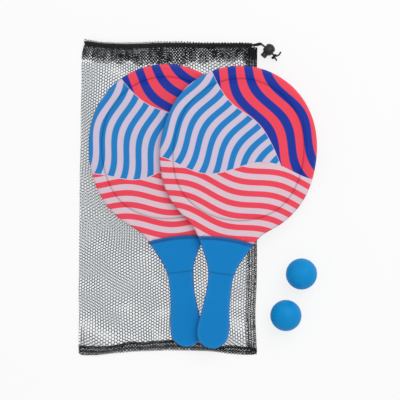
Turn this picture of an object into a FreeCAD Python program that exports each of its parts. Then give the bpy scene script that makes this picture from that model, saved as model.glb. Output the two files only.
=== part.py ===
import FreeCAD, Part
import os
from math import sin, cos, tan, atan2, radians, degrees, pi, sqrt

# Beach paddle ball set laid out flat: a mesh drawstring bag with its ball-shaped cord lock,
# two paddles in padded covers crossed on top of it, and two rubber balls beside it.
# X runs across the bag, Y up its length, Z up from the surface that everything lies on.

Vector = FreeCAD.Vector
doc = FreeCAD.newDocument("paddle_ball_set")
sheet = doc.addObject("Spreadsheet::Sheet", "sizes")

driving_sizes = {
    # bag
    "bag_left": -159.5,
    "bag_width": 239,
    "bag_top": 208.6,
    "bag_length": 417.5,
    "bottom_bow": 7.3,
    "flange_side": 12.9,
    "flange_middle": 12.3,
    "corner_radius": 6,
    "net_thickness": 0.8,
    "layer_gap": 0.3,
    "net_pitch": 26,
    "net_strand": 3,
    "fold_width": 2.5,
    "fold_round": 0.86,
    "side_seam_width": 12,
    # mouth casing and drawstring
    "casing_tube": 3.4,
    "casing_corner": 1.2,
    "casing_height": 6.5,
    "casing_split": 1,
    "casing_end_gap": 7,
    "flange_thickness": 1.2,
    "gather_height": 19.5,
    "cord_width": 2.2,
    "cord_play": 0.2,
    # paddles
    "paddle_length": 380,
    "head_width": 209,
    "side_radius": 145,
    "side_angle": 17.5,
    "lower_radius": 104,
    "lower_angle": 15.3,
    "neck_angle": 53.5,
    "neck_line": 7.5,
    "neck_radius": 58,
    "throat_angle": 27.8,
    "flare_radius": 77,
    "waist_width": 32.4,
    "foot_width": 42.8,
    "paddle_thickness": 11,
    "frame_thickness": 5.5,
    "cover_edge": 2.2,
    "rim_round": 2.4,
    "frame_play": 0.2,
    "ring_width": 17.5,
    "window_foot": 173,
    "window_foot_radius": 100,
    "crease_width": 1.4,
    "crease_depth": 0.7,
    "hem_height": 149.5,
    "hem_radius": 190,
    "rest_gap": 0.3,
    "rear_foot_x": -12.5,
    "rear_foot_y": -197.5,
    "rear_lean": 6.25,
    "front_foot_x": 17.2,
    "front_foot_y": -199.1,
    "front_lean": -8.06,
    # balls
    "ball_width": 42,
    "ball_wall": 4,
    "upper_ball_x": 138.5,
    "upper_ball_y": -99.7,
    "lower_ball_x": 117.7,
    "lower_ball_y": -155.1,
    # cord lock
    "lock_width": 16,
    "lock_reach": 23,
    "lock_drop": 6.9,
    "lock_turn": -42.2,
    "bore_radius": 4.2,
    "bore_depth": 6,
    "plunger_play": 0.1,
    "plunger_out": 12.8,
    "plunger_in": 2.2,
    "button_round": 1.2,
    "press_travel": 2,
    "body_hole_radius": 2.9,
    "plunger_hole_radius": 2.8,
    "hole_round": 1,
    "strand_shift": 1,
    "strand_space": 2.3,
    "spring_wire": 0.5,
    "spring_turns": 2.5,
    "spring_radius": 2.6,
    "spring_seat": 0.1,
    "knot_across": 9.2,
    "knot_along": 6,
    "knot_reach": 11.3,
    "knot_shift": 2.2,
    "knot_drop": 0.6,
}
for row, (alias, value) in enumerate(driving_sizes.items(), start=1):
    sheet.set(f"A{row}", alias)
    sheet.set(f"B{row}", str(value))
    sheet.setAlias(f"B{row}", alias)
doc.recompute()


def size(alias):
    return float(getattr(sheet, alias))


nodes = []


def finish_node(feature, label):
    feature.Label = label
    nodes.append(feature)
    return feature


# Sketch helpers: outlines are worked out as edges and drawn on a plane of the body's own origin.

def flat_arc(start, middle, end):
    if (middle - start).cross(end - start).z < 0:
        start, end = end, start
    return Part.Arc(start, middle, end)


def draw_edges(sketch, edges):
    for edge in edges:
        start = edge.valueAt(edge.FirstParameter)
        end = edge.valueAt(edge.LastParameter)
        middle = edge.valueAt((edge.FirstParameter + edge.LastParameter) / 2)
        if isinstance(edge.Curve, Part.Circle) and edge.isClosed():
            sketch.addGeometry(Part.Circle(edge.Curve.Center, Vector(0, 0, 1), edge.Curve.Radius))
        elif isinstance(edge.Curve, Part.Circle):
            sketch.addGeometry(flat_arc(start, middle, end))
        else:
            sketch.addGeometry(Part.LineSegment(start, end))


def add_sketch(body, name, edges, plane="XY_Plane", offset=None):
    sketch = body.newObject("Sketcher::SketchObject", name)
    origin_plane = next(f for f in body.Origin.OriginFeatures if f.Role == plane)
    sketch.AttachmentSupport = [(origin_plane, "")]
    sketch.MapMode = "FlatFace"
    if offset is not None:
        sketch.AttachmentOffset = FreeCAD.Placement(offset, FreeCAD.Rotation())
    draw_edges(sketch, edges)
    return sketch


def add_body(name):
    return doc.addObject("PartDesign::Body", name)


def add_pad(body, name, sketch, length, midplane=False):
    pad = body.newObject("PartDesign::Pad", name)
    pad.Profile = sketch
    pad.setExpression("Length", length)
    pad.Midplane = midplane
    doc.recompute()
    return pad


def add_pocket(body, name, sketch, depth=None, reverse=False, midplane=False):
    before = body.Shape.Volume
    pocket = body.newObject("PartDesign::Pocket", name)
    pocket.Profile = sketch
    if depth is None:
        pocket.Type = "ThroughAll"
    else:
        pocket.setExpression("Length", depth)
    pocket.Midplane = midplane
    pocket.Reversed = reverse
    doc.recompute()
    if not body.Shape.Volume < before - 1e-3:
        raise RuntimeError(f"{name} cuts nothing")
    return pocket


def round_edges(body, base, name, wanted, radius):
    names = [f"Edge{i}" for i, edge in enumerate(base.Shape.Edges, start=1) if wanted(edge)]
    fillet = body.newObject("PartDesign::Fillet", name)
    fillet.Base = (base, names)
    fillet.setExpression("Radius", radius)
    doc.recompute()
    return fillet


def line(start, end):
    return Part.makeLine(start, end)


def polygon(points):
    return [line(a, b) for a, b in zip(points, points[1:] + points[:1])]


def rounded_square(centre_x, centre_y, side, corner):
    h = side / 2
    r = corner
    edges = []
    for quarter in range(4):
        turn = FreeCAD.Rotation(Vector(0, 0, 1), 90 * quarter)
        centre = Vector(centre_x, centre_y, 0)
        straight = [turn.multVec(p) + centre for p in (Vector(h, r - h, 0), Vector(h, h - r, 0))]
        bend = [Vector(h - r + r * cos(a), h - r + r * sin(a), 0) for a in (0, pi / 4, pi / 2)]
        edges.append(line(*straight))
        edges.append(flat_arc(*[turn.multVec(p) + centre for p in bend]).toShape())
    return edges


# Bag: the two net layers, bound by the fold on the left, the overlocked side seam on the right,
# the bowed bottom seam with its flange, and the casing round the mouth.

bag_left = size("bag_left")
bag_right = bag_left + size("bag_width")
bag_middle = (bag_left + bag_right) / 2
bag_top = size("bag_top")
bag_foot = bag_top - size("bag_length")
casing_foot = bag_top - size("casing_height")
gather_foot = casing_foot - size("gather_height")
net_left = bag_left + size("fold_width")
net_right = bag_right - size("side_seam_width")
front_net_z = size("net_thickness") + size("layer_gap")
stack_thickness = front_net_z + size("net_thickness")
STACK = "(2 * sizes.net_thickness + sizes.layer_gap)"


class BowedLine:
    """An arc across the whole bag, higher in its middle by bow."""

    def __init__(self, side_y, bow):
        half = (bag_right - bag_left) / 2
        self.radius = (half ** 2 + bow ** 2) / (2 * bow)
        self.centre_y = side_y + bow - self.radius

    def at(self, x):
        return Vector(x, self.centre_y + sqrt(self.radius ** 2 - (x - bag_middle) ** 2), 0)

    def edge(self, x_start, x_end):
        return Part.Arc(self.at(x_start), self.at((x_start + x_end) / 2), self.at(x_end)).toShape()


bottom_edge = BowedLine(bag_foot, size("bottom_bow"))
seam_bow = size("bottom_bow") + size("flange_middle") - size("flange_side")
seam_line = BowedLine(bag_foot + size("flange_side"), seam_bow)


def panel_edges(x_start, x_end, y_top):
    """Outline of an upright strip of the bag that stands on the bottom seam line."""
    foot_start = seam_line.at(x_start)
    foot_end = seam_line.at(x_end)
    top_start = Vector(x_start, y_top, 0)
    top_end = Vector(x_end, y_top, 0)
    return [seam_line.edge(x_start, x_end), line(foot_end, top_end), line(top_end, top_start),
            line(top_start, foot_start)]


def net_gaps(y_top, row_shift):
    """Hexagon gaps of the knitted net, in staggered columns, that lie wholly inside the panel."""
    pitch = size("net_pitch")
    strand = size("net_strand")
    side = pitch / sqrt(3)
    gap_side = (pitch - strand) / sqrt(3)
    gaps = []
    columns = int((net_right - net_left) / (1.5 * side)) + 1
    rows = int((y_top - bag_foot) / pitch) + 1
    first_x = net_left + strand + gap_side
    for column in range(columns):
        x = first_x + 1.5 * side * column
        shift = row_shift + (0.5 if column % 2 else 0)
        for number in range(rows):
            y = y_top - strand - pitch * (number + 0.5 + shift)
            corners = [Vector(x + gap_side * cos(a), y + gap_side * sin(a), 0)
                       for a in [pi / 3 * k for k in range(6)]]
            low_point = min(corner.y - seam_line.at(corner.x).y for corner in corners)
            if low_point > strand and x + gap_side < net_right - strand / 2:
                gaps.append(Part.Wire(polygon(corners)))
    return gaps


def add_net(name, y_top, z_expression, row_shift):
    gaps = net_gaps(y_top, row_shift)
    print(name, "has", len(gaps), "gaps")
    outline = doc.addObject("Part::Feature", name + "_face")
    border = Part.Wire(Part.__sortEdges__(panel_edges(net_left, net_right, y_top)))
    outline.Shape = Part.Face([border] + gaps, "Part::FaceMakerBullseye")
    net = doc.addObject("Part::Extrusion", name)
    net.Base = outline
    net.DirMode = "Custom"
    net.Dir = Vector(0, 0, 1)
    net.Solid = True
    net.setExpression("LengthFwd", "sizes.net_thickness")
    net.setExpression("Placement.Base.z", z_expression)
    return finish_node(net, name)


add_net("bag_back_net", casing_foot, "0", 0)
add_net("bag_front_net", gather_foot, "sizes.net_thickness + sizes.layer_gap", 0.25)

left_fold = add_body("left_fold")
fold_sketch = add_sketch(left_fold, "left_fold_outline",
                         panel_edges(bag_left, net_left, bag_top - size("casing_tube")))
fold_pad = add_pad(left_fold, "left_fold_pad", fold_sketch, STACK)
round_edges(left_fold, fold_pad, "left_fold_round",
            lambda e: e.BoundBox.YLength > size("gather_height") and e.BoundBox.XMax < bag_left + 0.01,
            "sizes.fold_round")
finish_node(left_fold, "left_fold")

side_seam = add_body("side_seam")
side_sketch = add_sketch(side_seam, "side_seam_outline", panel_edges(net_right, bag_right, casing_foot))
add_pad(side_seam, "side_seam_pad", side_sketch, STACK)
finish_node(side_seam, "side_seam")

bottom_seam = add_body("bottom_seam")
bottom_sketch = add_sketch(bottom_seam, "bottom_seam_outline", [
    bottom_edge.edge(bag_left, bag_right),
    line(bottom_edge.at(bag_right), seam_line.at(bag_right)),
    seam_line.edge(bag_left, bag_right),
    line(seam_line.at(bag_left), bottom_edge.at(bag_left)),
])
bottom_pad = add_pad(bottom_seam, "bottom_seam_pad", bottom_sketch, STACK)
round_edges(bottom_seam, bottom_pad, "bottom_seam_corners",
            lambda e: e.BoundBox.ZLength > 1 and e.BoundBox.YMax < bag_foot + 1, "sizes.corner_radius")
finish_node(bottom_seam, "bottom_seam")

# The casing is a tube of folded fabric round the mouth. It lies flat as a lower and an upper run,
# turns up through a quarter each at the left fold, and stops short of the right edge.
tube = size("casing_tube")
half_tube = tube / 2
turn_height = tube + size("casing_split") / 2
casing_y = bag_top - half_tube
casing_left = bag_left + turn_height
casing_right = bag_right - size("casing_end_gap")
lower_cord_z = half_tube
upper_cord_z = tube + size("casing_split") + half_tube
channel_radius = size("cord_width") / 2 + size("cord_play")
CASING_LENGTH = "sizes.bag_width - sizes.casing_end_gap - sizes.casing_tube - sizes.casing_split / 2"


def add_casing(name, cord_z, skirt_points, skirt_start, skirt_end, reverse):
    body = add_body(name)
    tube_edges = rounded_square(casing_y, cord_z - turn_height, tube, size("casing_corner"))
    channel = Part.makeCircle(channel_radius, Vector(casing_y, cord_z - turn_height, 0))
    offset = Vector(0, turn_height, casing_left)
    profile = add_sketch(body, name + "_tube_section", tube_edges + [channel], "YZ_Plane", offset)
    add_pad(body, name + "_run", profile, CASING_LENGTH)
    quarter = body.newObject("PartDesign::Revolution", name + "_quarter_turn")
    quarter.Profile = profile
    quarter.ReferenceAxis = (profile, ["H_Axis"])
    quarter.Angle = 90
    quarter.Reversed = reverse
    doc.recompute()
    skirt = add_sketch(body, name + "_skirt_section", polygon(skirt_points), "YZ_Plane",
                       Vector(0, 0, skirt_start))
    skirt_pad = body.newObject("PartDesign::Pad", name + "_skirt")
    skirt_pad.Profile = skirt
    skirt_pad.Length = skirt_end - skirt_start
    doc.recompute()
    return finish_node(body, name)


tube_foot = bag_top - tube
flange = size("flange_thickness")
overlap_into_wall = size("cord_play")
back_skirt = [Vector(casing_foot, 0, 0), Vector(tube_foot + overlap_into_wall, 0, 0),
              Vector(tube_foot + overlap_into_wall, flange, 0), Vector(casing_foot, flange, 0)]
front_base = tube + size("casing_split")
front_skirt = [Vector(gather_foot, front_net_z, 0), Vector(casing_foot, front_base, 0),
               Vector(tube_foot + overlap_into_wall, front_base + overlap_into_wall, 0),
               Vector(tube_foot + overlap_into_wall, front_base + flange, 0),
               Vector(casing_foot, front_base + flange, 0), Vector(gather_foot, stack_thickness, 0)]
add_casing("mouth_casing_back", lower_cord_z, back_skirt, casing_left, casing_right, False)
add_casing("mouth_casing_front", upper_cord_z, front_skirt, net_left, net_right, True)


# Cords are tubes along straight runs joined by tangent arcs. An arc takes this share of the shorter run.
CORNER_SHARE = 0.45


def corner_arc(start, corner, end):
    """Arc tangent at start and end to the lines from there to the corner, which is as far from both."""
    middle = (start + end) / 2
    half_chord = (end - start).Length / 2
    height = (corner - middle).Length
    radius = half_chord * (corner - start).Length / height
    sagitta = radius - sqrt(radius ** 2 - half_chord ** 2)
    return Part.Arc(start, middle + (corner - middle) * (sagitta / height), end).toShape()


def smooth_path(points):
    """Wire through the route's runs, each corner rounded as widely as its two runs allow."""
    edges = []
    radii = []
    at = points[0]
    for before, corner, after in zip(points, points[1:], points[2:]):
        run_in = corner - before
        run_out = after - corner
        turn = run_in.getAngle(run_out)
        reach = CORNER_SHARE * min(run_in.Length, run_out.Length)
        radii.append(reach / tan(turn / 2))
        leave = corner - run_in.normalize() * reach
        meet = corner + run_out.normalize() * reach
        edges.append(line(at, leave))
        edges.append(corner_arc(leave, corner, meet))
        at = meet
    edges.append(line(at, points[-1]))
    return Part.Wire(edges), radii


def coil_path(radius, rise, turns):
    """Wire of a coil about Z that climbs by rise: two tangent arcs to each quarter turn."""
    def on_coil(quarters):
        angle = quarters * pi / 2
        climb = rise / (turns * 2 * pi)
        direction = Vector(-radius * sin(angle), radius * cos(angle), climb).normalize()
        return Vector(radius * cos(angle), radius * sin(angle), climb * angle), direction

    edges = []
    for quarter in range(round(turns * 4)):
        start, leaving = on_coil(quarter)
        end, arriving = on_coil(quarter + 1)
        chord = end - start
        along = chord * (leaving + arriving)
        spread = 2 * (1 - leaving * arriving)
        reach = (sqrt(along ** 2 + spread * chord.Length ** 2) - along) / spread
        first_corner = start + leaving * reach
        second_corner = end - arriving * reach
        joint = (first_corner + second_corner) / 2
        edges.append(corner_arc(start, first_corner, joint))
        edges.append(corner_arc(joint, second_corner, end))
    return Part.Wire(edges)


def add_cord(name, spine_wire, radius_expression):
    spine = doc.addObject("Part::Feature", name + "_path")
    spine.Shape = spine_wire
    start = spine_wire.Edges[0]
    section = doc.addObject("Part::Circle", name + "_section")
    section.setExpression("Radius", radius_expression)
    direction = start.tangentAt(start.FirstParameter)
    section.Placement = FreeCAD.Placement(start.valueAt(start.FirstParameter),
                                          FreeCAD.Rotation(Vector(0, 0, 1), direction))
    cord = doc.addObject("Part::Sweep", name)
    cord.Spine = spine
    cord.Sections = [section]
    cord.Solid = True
    cord.Frenet = False
    doc.recompute()
    expected = spine_wire.Length * pi * section.Radius.Value ** 2
    if abs(cord.Shape.Volume / expected - 1) > 0.01:
        raise RuntimeError(f"{name} has volume {cord.Shape.Volume:.1f}, not {expected:.1f}")
    print(name, "is", round(spine_wire.Length, 1), "mm long")
    return finish_node(cord, name)


CORD_RADIUS = "sizes.cord_width / 2"
held_y = casing_y
turn_radius = (upper_cord_z - lower_cord_z) / 2
upper_left = Vector(casing_left, held_y, upper_cord_z)
lower_left = Vector(casing_left, held_y, lower_cord_z)
turn_top = Vector(casing_left - turn_radius, held_y, turn_height)
held_path = Part.Wire([
    line(Vector(casing_right, held_y, upper_cord_z), upper_left),
    Part.Arc(upper_left, turn_top, lower_left).toShape(),
    line(lower_left, Vector(casing_right, held_y, lower_cord_z)),
])
add_cord("drawstring", held_path, CORD_RADIUS)

# The two free ends leave the casing, climb to the lock's height, run through it one above the
# other and end in one knot. A short tail of each comes out of the knot and droops to the surface.
exit_x = casing_right
exit_y = casing_y
lock_radius = size("lock_width") / 2
lock_centre = Vector(exit_x + size("lock_reach"), exit_y - size("lock_drop"), lock_radius)
cord_axis = Vector(cos(radians(size("lock_turn"))), sin(radians(size("lock_turn"))), 0)
plunger_axis = Vector(cord_axis.y, -cord_axis.x, 0)


def in_lock(along, outward, height):
    """A point by its place on the lock's cord axis, its plunger axis and the vertical."""
    return lock_centre + cord_axis * along + plunger_axis * outward + Vector(0, 0, height)


knot_centre = in_lock(size("knot_reach"), size("knot_shift"), -size("knot_drop"))
strand_shift = size("strand_shift")
half_space = size("strand_space") / 2


def from_exit(x, y, z):
    return Vector(exit_x + x, exit_y + y, z)


upper_route = [
    from_exit(0, 0, upper_cord_z),
    from_exit(3.9, 0, upper_cord_z),
    from_exit(7.7, 0.9, 7.1),
    from_exit(11.2, 1.3, 8.5),
    in_lock(-11.9, strand_shift, half_space),
    in_lock(9.8, strand_shift, half_space),
]
lower_route = [
    from_exit(0, 0, lower_cord_z),
    from_exit(3.9, 0, lower_cord_z),
    from_exit(7.8, 0.9, 3.4),
    from_exit(11.2, 1.3, 5.7),
    in_lock(-11.9, strand_shift, -half_space),
    in_lock(9.8, strand_shift, -half_space),
]
long_tail_route = [
    knot_centre + Vector(0.6, 0.6, 0),
    knot_centre + Vector(3.6, 0.9, -0.9),
    knot_centre + Vector(6.3, 2.3, -3.4),
    knot_centre + Vector(8.0, 4.4, -5.3),
    knot_centre + Vector(8.9, 6.8, -6.1),
]
short_tail_route = [
    knot_centre + Vector(0.4, -0.8, -0.4),
    knot_centre + Vector(1.8, -2.6, -1.9),
    knot_centre + Vector(2.8, -3.9, -4.1),
    knot_centre + Vector(3.4, -4.8, -6.1),
]
for cord_name, route in (("drawstring_end_upper", upper_route), ("drawstring_end_lower", lower_route),
                         ("knot_long_tail", long_tail_route), ("knot_short_tail", short_tail_route)):
    path, bend_radii = smooth_path(route)
    print(cord_name, "bends at radii", [round(r, 1) for r in bend_radii])
    add_cord(cord_name, path, CORD_RADIUS)

knot = doc.addObject("Part::Ellipsoid", "knot")
knot.setExpression("Radius1", "sizes.knot_along / 2")
knot.setExpression("Radius2", "sizes.knot_across / 2")
knot.setExpression("Radius3", "sizes.knot_along / 2")
knot.Placement = FreeCAD.Placement(knot_centre, FreeCAD.Rotation(cord_axis, plunger_axis, Vector(), "XZY"))
finish_node(knot, "knot")

# Cord lock: a moulded ball with a blind bore, a plunger that is its push button, and the coil spring
# behind it. The cord passes through both holes and is gripped where the spring misaligns them.
# Its own axes: X along the cord, Y outward along the plunger, Z across both.
lock_place = FreeCAD.Placement(lock_centre, FreeCAD.Rotation(cord_axis, plunger_axis, Vector(0, 0, -1), "XYZ"))
bore = size("bore_radius")
bore_floor = -size("bore_depth")
mouth = sqrt(lock_radius ** 2 - bore ** 2)


def add_turned(name, edges):
    """A body turned about the plunger axis from a half section drawn in its X and Y."""
    body = add_body(name)
    section = add_sketch(body, name + "_half_section", edges)
    turning = body.newObject("PartDesign::Revolution", name + "_turned")
    turning.Profile = section
    turning.ReferenceAxis = (section, ["V_Axis"])
    turning.Angle = 360
    doc.recompute()
    return body, turning


def add_cord_hole(body, name, radius, outward):
    hole = add_sketch(body, name, [Part.makeCircle(radius, Vector(outward, 0, 0))], "YZ_Plane")
    return add_pocket(body, name + "_through", hole, midplane=True)


ball_side = Vector(lock_radius, 0, 0)
lock_edges = [
    line(Vector(0, bore_floor, 0), Vector(bore, bore_floor, 0)),
    line(Vector(bore, bore_floor, 0), Vector(bore, mouth, 0)),
    Part.Arc(Vector(bore, mouth, 0), ball_side, Vector(0, -lock_radius, 0)).toShape(),
    line(Vector(0, -lock_radius, 0), Vector(0, bore_floor, 0)),
]
lock_body, lock_turned = add_turned("lock_body", lock_edges)
lock_hole = add_cord_hole(lock_body, "lock_cord_hole", size("body_hole_radius"), 0)
hole_width = 2 * size("body_hole_radius")
round_edges(lock_body, lock_hole, "lock_cord_hole_mouths",
            lambda e: abs(e.BoundBox.Center.x) > bore and hole_width - 1 < e.BoundBox.YLength < hole_width + 1,
            "sizes.hole_round")
lock_body.Placement = lock_place
finish_node(lock_body, "lock_body")

plunger = bore - size("plunger_play")
plunger_edges = polygon([Vector(0, -size("plunger_in"), 0), Vector(plunger, -size("plunger_in"), 0),
                         Vector(plunger, size("plunger_out"), 0), Vector(0, size("plunger_out"), 0)])
lock_button, button_turned = add_turned("lock_button", plunger_edges)
button_round = round_edges(lock_button, button_turned, "lock_button_round",
                           lambda e: e.BoundBox.YMin > size("plunger_out") - 0.01
                           and e.BoundBox.XMax > plunger - 0.01, "sizes.button_round")
add_cord_hole(lock_button, "button_cord_hole", size("plunger_hole_radius"), size("press_travel"))
lock_button.Placement = lock_place
finish_node(lock_button, "lock_button")

wire_radius = size("spring_wire") / 2
spring_room = size("bore_depth") - size("plunger_in") - 2 * size("spring_seat")
coil_rise = spring_room - size("spring_wire")
spring_path = coil_path(size("spring_radius") - wire_radius, coil_rise, size("spring_turns"))
lock_spring = add_cord("lock_spring", spring_path, "sizes.spring_wire / 2")
spring_start = bore_floor + size("spring_seat") + wire_radius
upright_to_plunger = FreeCAD.Placement(Vector(0, spring_start, 0), FreeCAD.Rotation(Vector(1, 0, 0), -90))
lock_spring.Placement = lock_place.multiply(upright_to_plunger)


# Paddles: a moulded plate frame with a ring round a window, a foam pad in the window, and stretchy
# padded covers on both faces: a printed one on the head and a plain sleeve on the grip.

def turned(angle):
    """Unit vector at an angle in degrees from the paddle's X axis."""
    return Vector(cos(radians(angle)), sin(radians(angle)), 0)


def outline_arcs():
    """Centre, radius, first and last angle and side of each arc of the right half, foot to top."""
    side, lower, neck, flare = [size(a) for a in ("side_radius", "lower_radius", "neck_radius", "flare_radius")]
    side_top, side_foot = size("side_angle"), size("lower_angle")
    neck_turn, throat_turn = size("neck_angle"), size("throat_angle")
    half_head, half_waist, foot = size("head_width") / 2, size("waist_width") / 2, size("foot_width") / 2
    top = side - (side - half_head) / cos(radians(side_top))
    top_centre = Vector(0, size("paddle_length") - top, 0)
    side_centre = top_centre - turned(side_top) * (side - top)
    lower_centre = side_centre + turned(-side_foot) * (side - lower)
    neck_top = lower_centre + turned(-neck_turn) * lower - turned(90 - neck_turn) * size("neck_line")
    neck_centre = neck_top + turned(-neck_turn) * neck
    throat_top = neck_centre - turned(-throat_turn) * neck
    flare_x = half_waist + flare * (1 - cos(radians(throat_turn)))
    throat_line = (throat_top.x - flare_x) / sin(radians(throat_turn))
    flare_top = throat_top - turned(90 - throat_turn) * throat_line
    flare_centre = flare_top + turned(-throat_turn) * flare
    waist_y = flare_centre.y
    half_turn = atan2(foot - half_waist, waist_y - foot)
    hip_sum = (waist_y - foot) / sin(2 * half_turn)
    hip, waist = hip_sum / 3, hip_sum * 2 / 3
    hip_turn = degrees(2 * half_turn)
    return [
        (Vector(0, foot, 0), foot, -90, 0, 1),
        (Vector(foot - hip, foot, 0), hip, 0, hip_turn, 1),
        (Vector(half_waist + waist, waist_y, 0), waist, 180 + hip_turn, 180, -1),
        (flare_centre, flare, 180, 180 - throat_turn, -1),
        (neck_centre, neck, 180 - throat_turn, 180 - neck_turn, -1),
        (lower_centre, lower, -neck_turn, -side_foot, 1),
        (side_centre, side, -side_foot, side_top, 1),
        (top_centre, top, side_top, 90, 1),
    ]


def outline_face(inset):
    """The paddle's whole face, drawn in all round by inset."""
    half = []
    last = None
    for centre, radius, first_angle, last_angle, side in outline_arcs():
        r = radius - side * inset
        start, middle, end = [centre + turned(a) * r
                              for a in (first_angle, (first_angle + last_angle) / 2, last_angle)]
        if last is not None and (start - last).Length > 1e-6:
            half.append(line(last, start))
        half.append(Part.Arc(start, middle, end).toShape())
        last = end
    other_half = [edge.mirror(Vector(), Vector(1, 0, 0)) for edge in half]
    return Part.Face(Part.Wire(Part.__sortEdges__(half + other_half)))


def disc(centre_y, radius):
    return Part.Face(Part.Wire(Part.makeCircle(radius, Vector(0, centre_y, 0))))


def window_face(rim):
    foot_radius = size("window_foot_radius") + size("ring_width") - rim
    centre_y = size("window_foot") + size("window_foot_radius")
    return outline_face(rim).common(disc(centre_y, foot_radius))


def below_hem(extra):
    return disc(size("hem_height") - size("hem_radius"), size("hem_radius") + extra)


def on_outline(edge, outline):
    """Whether an edge lies above or below the outline's own border, not on the hem or a pocket."""
    middle = edge.valueAt((edge.FirstParameter + edge.LastParameter) / 2)
    return outline.distToShape(Part.Vertex(Vector(middle.x, middle.y, 0)))[0] < 0.01


HALF_THICKNESS = "sizes.paddle_thickness / 2"
HALF_FRAME = "sizes.frame_thickness / 2"
border = outline_face(0).OuterWire


def add_cover(name, face, cavity, creased):
    body = add_body(name)
    sketch = add_sketch(body, name + "_outline", face.Edges)
    pad = add_pad(body, name + "_pad", sketch, HALF_THICKNESS)
    top_z = size("paddle_thickness") / 2
    rounded = round_edges(body, pad, name + "_rim_round",
                          lambda e: e.BoundBox.ZMin > top_z - 0.01 and on_outline(e, border),
                          "sizes.rim_round")
    inside = add_sketch(body, name + "_inside", cavity.Edges)
    add_pocket(body, name + "_frame_room", inside, HALF_FRAME, reverse=True)
    if creased:
        outer_line = window_face(size("ring_width") - size("crease_width"))
        inner_line = window_face(size("ring_width"))
        crease = add_sketch(body, name + "_crease", outer_line.Edges + inner_line.Edges,
                            offset=Vector(0, 0, top_z))
        add_pocket(body, name + "_crease_groove", crease, "sizes.crease_depth")
    return body


def add_under_cover(name, source, middle_z):
    under = doc.addObject("Part::Mirroring", name)
    under.Source = source
    under.Normal = Vector(0, 0, 1)
    under.setExpression("Base.z", middle_z)
    doc.recompute()
    return finish_node(under, name)


def add_paddle(paddle, middle_z):
    rotation = FreeCAD.Rotation(Vector(0, 0, 1), size(paddle + "_lean"))

    def place(feature):
        feature.Placement = FreeCAD.Placement(Vector(), rotation)
        feature.setExpression("Placement.Base.x", f"sizes.{paddle}_foot_x")
        feature.setExpression("Placement.Base.y", f"sizes.{paddle}_foot_y")
        feature.setExpression("Placement.Base.z", middle_z)

    frame = add_body(paddle + "_paddle_frame")
    frame_inset = size("cover_edge") + size("frame_play")
    frame_sketch = add_sketch(frame, paddle + "_frame_outline", outline_face(frame_inset).Edges)
    add_pad(frame, paddle + "_frame_plate", frame_sketch, "sizes.frame_thickness", midplane=True)
    window_sketch = add_sketch(frame, paddle + "_window", window_face(size("ring_width")).Edges)
    add_pocket(frame, paddle + "_window_cut", window_sketch, midplane=True)
    place(frame)
    finish_node(frame, paddle + "_paddle_frame")

    pad = add_body(paddle + "_paddle_foam_pad")
    pad_sketch = add_sketch(pad, paddle + "_pad_outline",
                            window_face(size("ring_width") + size("frame_play")).Edges)
    add_pad(pad, paddle + "_pad_foam", pad_sketch, "sizes.frame_thickness", midplane=True)
    place(pad)
    finish_node(pad, paddle + "_paddle_foam_pad")

    whole = outline_face(0)
    inside = outline_face(size("cover_edge"))
    past_hem = 2 * size("cover_edge")
    covers = (
        ("head_cover", whole.cut(below_hem(0)), inside.cut(below_hem(-past_hem)), True),
        ("grip_cover", whole.common(below_hem(0)), inside.common(below_hem(past_hem)), False),
    )
    for kind, face, cavity, creased in covers:
        label = f"{paddle}_paddle_{kind}"
        cover = add_cover(label + "_top", face, cavity, creased)
        place(cover)
        finish_node(cover, label + "_top")
        add_under_cover(label + "_under", cover, middle_z)


REAR_MIDDLE = STACK + " + sizes.rest_gap + sizes.paddle_thickness / 2"
FRONT_MIDDLE = REAR_MIDDLE + " + sizes.paddle_thickness + sizes.rest_gap"
add_paddle("rear", REAR_MIDDLE)
add_paddle("front", FRONT_MIDDLE)

# Balls: hollow moulded rubber.
for ball_name in ("upper_ball", "lower_ball"):
    skin = doc.addObject("Part::Sphere", ball_name + "_skin")
    skin.setExpression("Radius", "sizes.ball_width / 2")
    hollow = doc.addObject("Part::Sphere", ball_name + "_hollow")
    hollow.setExpression("Radius", "sizes.ball_width / 2 - sizes.ball_wall")
    ball = doc.addObject("Part::Cut", ball_name)
    ball.Base = skin
    ball.Tool = hollow
    ball.setExpression("Placement.Base.x", f"sizes.{ball_name}_x")
    ball.setExpression("Placement.Base.y", f"sizes.{ball_name}_y")
    ball.setExpression("Placement.Base.z", "sizes.ball_width / 2")
    finish_node(ball, ball_name)

doc.recompute()
failed = [o.Name for o in doc.Objects if "Invalid" in o.State or "Error" in o.State]
if failed:
    raise RuntimeError(f"objects failed: {failed}")
for node in nodes:
    if node.Shape.isNull() or not node.Shape.isValid() or not node.Shape.Solids:
        raise RuntimeError(f"{node.Label} has no valid solid")

os.makedirs("parts", exist_ok=True)
for node in nodes:
    node.Shape.exportStep(os.path.join("parts", node.Label + ".step"))
print(len(nodes), "sub-parts written")
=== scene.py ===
from math import atan2, cos, degrees, exp, pi, radians, sin, sqrt

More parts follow.
